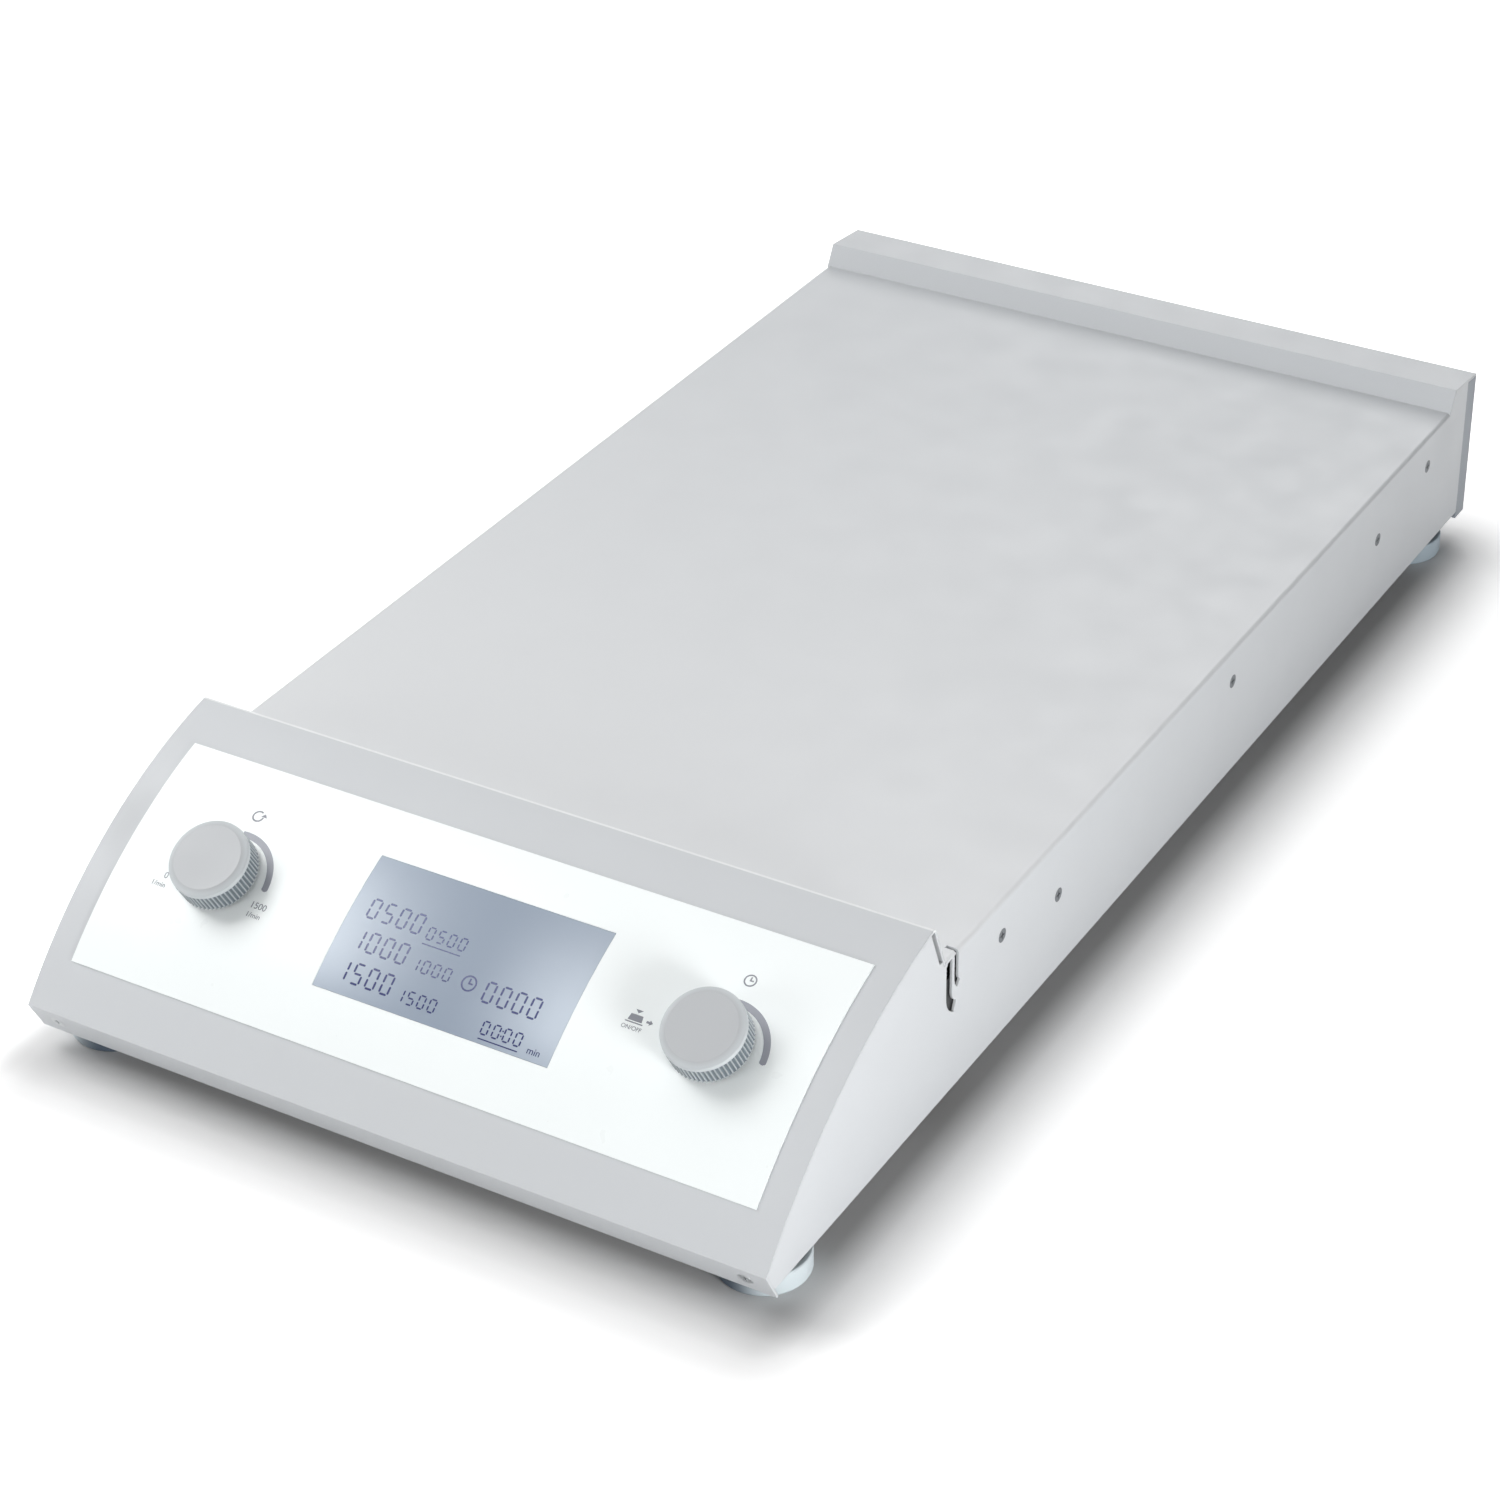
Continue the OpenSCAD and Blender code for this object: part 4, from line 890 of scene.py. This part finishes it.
# %% Tell direct rays from others
def seen_directly(tree):
    """1 for rays that come from the camera or from a mirror-like or clear surface."""
    path = add(tree, "LightPath").outputs
    either = reckon(tree, "MAXIMUM", path["Is Camera Ray"], path["Is Glossy Ray"])
    return reckon(tree, "MAXIMUM", either, path["Is Transmission Ray"])


print("camera, glossy and clear rays see the white ground")

# %% [markdown]
# # Where the shadow lies
# Close beside the instrument the floor must not glow, or its soft shadow would drown. On each of
# the four sides a span runs from the instrument's edge to where its shadow has ended. The four
# spans are joined as the sides of a right triangle are, so the corners come out round. The shadow
# near the instrument comes from the lamps, but where it fades to white is painted by these spans.

# %% Fade away from the instrument
SHADOW_EDGES = [("X", 0.147, 0.192), ("X", -0.147, -0.18),
                ("Y", 0.268, 0.315), ("Y", -0.295, -0.352)]


def glow_away(tree):
    """0 beside the instrument, and 1 where its shadow has ended on every side."""
    total = 0.0
    for axis, start, end in SHADOW_EDGES:
        step = span(tree, place_on(tree, axis), start, end)
        total = reckon(tree, "MULTIPLY_ADD", step, step, total)
    return span(tree, reckon(tree, "SQRT", total), 0.0, 1.0, interpolation_type="SMOOTHSTEP")


print("shadow spans", [round(abs(end - start) / MM) for _, start, end in SHADOW_EDGES], "mm")

# %% [markdown]
# # White floor
# The floor is matt white. Its glow is nought in the shadow, a little above one half beyond it,
# and grows once more far from the lamps. Right at the instrument's foot the white is painted greyer,
# a painted contact shadow like the narrow dark line where a heavy thing stands on paper.

# %% White floor that keeps the shadow
FLOOR_SIZE = 12.0
FLOOR_ROUGHNESS, FLOOR_GLOSS = 0.9, 0.1
FLOOR_GLOW = 0.55
FAR_GLOW, FAR_STARTS, FAR_ENDS = 0.4, 0.6, 3.0
PAINTED_CONTACT_SHADOW, OPEN_WHITE, CONTACT_ENDS = 0.69, 0.86, 0.2


def white_ground():
    """Matt white that glows a little for the camera, except beside the instrument, with a painted contact shadow
    at its foot.
    """
    made = bpy.data.materials.new("white_ground")
    made.use_nodes = True
    tree = made.node_tree
    shader = tree.nodes["Principled BSDF"]
    shader.inputs["Roughness"].default_value = FLOOR_ROUGHNESS
    shader.inputs["Specular IOR Level"].default_value = FLOOR_GLOSS
    shader.inputs["Emission Color"].default_value = (1, 1, 1, 1)
    away = glow_away(tree)
    # painted contact shadow: greyer white right at the instrument's foot
    white = span(tree, away, 0.0, CONTACT_ENDS, PAINTED_CONTACT_SHADOW, OPEN_WHITE)
    tree.links.new(white, shader.inputs["Base Color"])
    reach = vector_step(tree, "LENGTH", add(tree, "TexCoord").outputs["Object"], None)
    near_glow = span(tree, away, 0.0, 1.0, 0.0, FLOOR_GLOW)
    far_glow = span(tree, reach, FAR_STARTS, FAR_ENDS, 0.0, FAR_GLOW)
    glow = reckon(tree, "MULTIPLY", seen_directly(tree), reckon(tree, "ADD", near_glow, far_glow))
    tree.links.new(glow, shader.inputs["Emission Strength"])
    return made


bpy.ops.mesh.primitive_plane_add(size=FLOOR_SIZE)
floor = bpy.context.object
floor.name = "floor"
floor.data.materials.append(white_ground())
print("floor of", FLOOR_SIZE, "m")

# %% [markdown]
# # World light
# The world is what lies all round the instrument. Seen directly it is plain white, so the
# backdrop needs no wall. As a light it gives only a tenth of that, enough to lift the shadows,
# while the lamps shape the forms.

# %% White world that lights a little
AMBIENT = 0.1

world = bpy.data.worlds.new("studio")
world.use_nodes = True
bpy.context.scene.world = world
sky = world.node_tree.nodes["Background"]
sky.inputs["Color"].default_value = (1, 1, 1, 1)
strength = span(world.node_tree, seen_directly(world.node_tree), 0.0, 1.0, AMBIENT, 1.0)
world.node_tree.links.new(strength, sky.inputs["Strength"])
print("ambient light", AMBIENT)

# %% [markdown]
# # Soft lamps
# Two large lamps at the left light the panel and the deck, one from behind lights the deck's far
# end and the rear, and two small low ones lift the chin and the right wall. Their powers were
# found by rendering with one lamp at a time and adding the pictures up, because light simply adds.

# %% Five square lamps
LAMPS = {
    "key_left": ((-1.3, -0.4, 1.3), (0, -0.1, 0), 1.0, 21.5),
    "key_high": ((-1.2, 0.5, 3.2), (0, 0, 0), 2.4, 24),
    "back_light": ((-0.6, 2.8, 2.0), (0, 0, 0), 1.8, 41),
    "fill_front": ((-0.7, -1.1, 0.22), (0, -0.2, 0.05), 0.4, 2.4),
    "fill_right": ((0.95, -0.62, 0.17), (0.15, -0.2, 0.05), 0.3, 7.3),
}

for name, (place, aim, size, watts) in LAMPS.items():
    data = bpy.data.lights.new(name, "AREA")
    data.size = size
    data.energy = watts
    lamp = bpy.data.objects.new(name, data)
    lamp.location = place
    lamp.rotation_euler = (Vector(aim) - Vector(place)).to_track_quat("-Z", "Y").to_euler()
    bpy.context.scene.collection.objects.link(lamp)
    print(name, watts, "W over", size, "m")

# %% [markdown]
# # Last steps
# The colours should come out as they are written, so the plain Standard view is used.

# %% Colour view and the end
bpy.context.scene.view_settings.view_transform = "Standard"
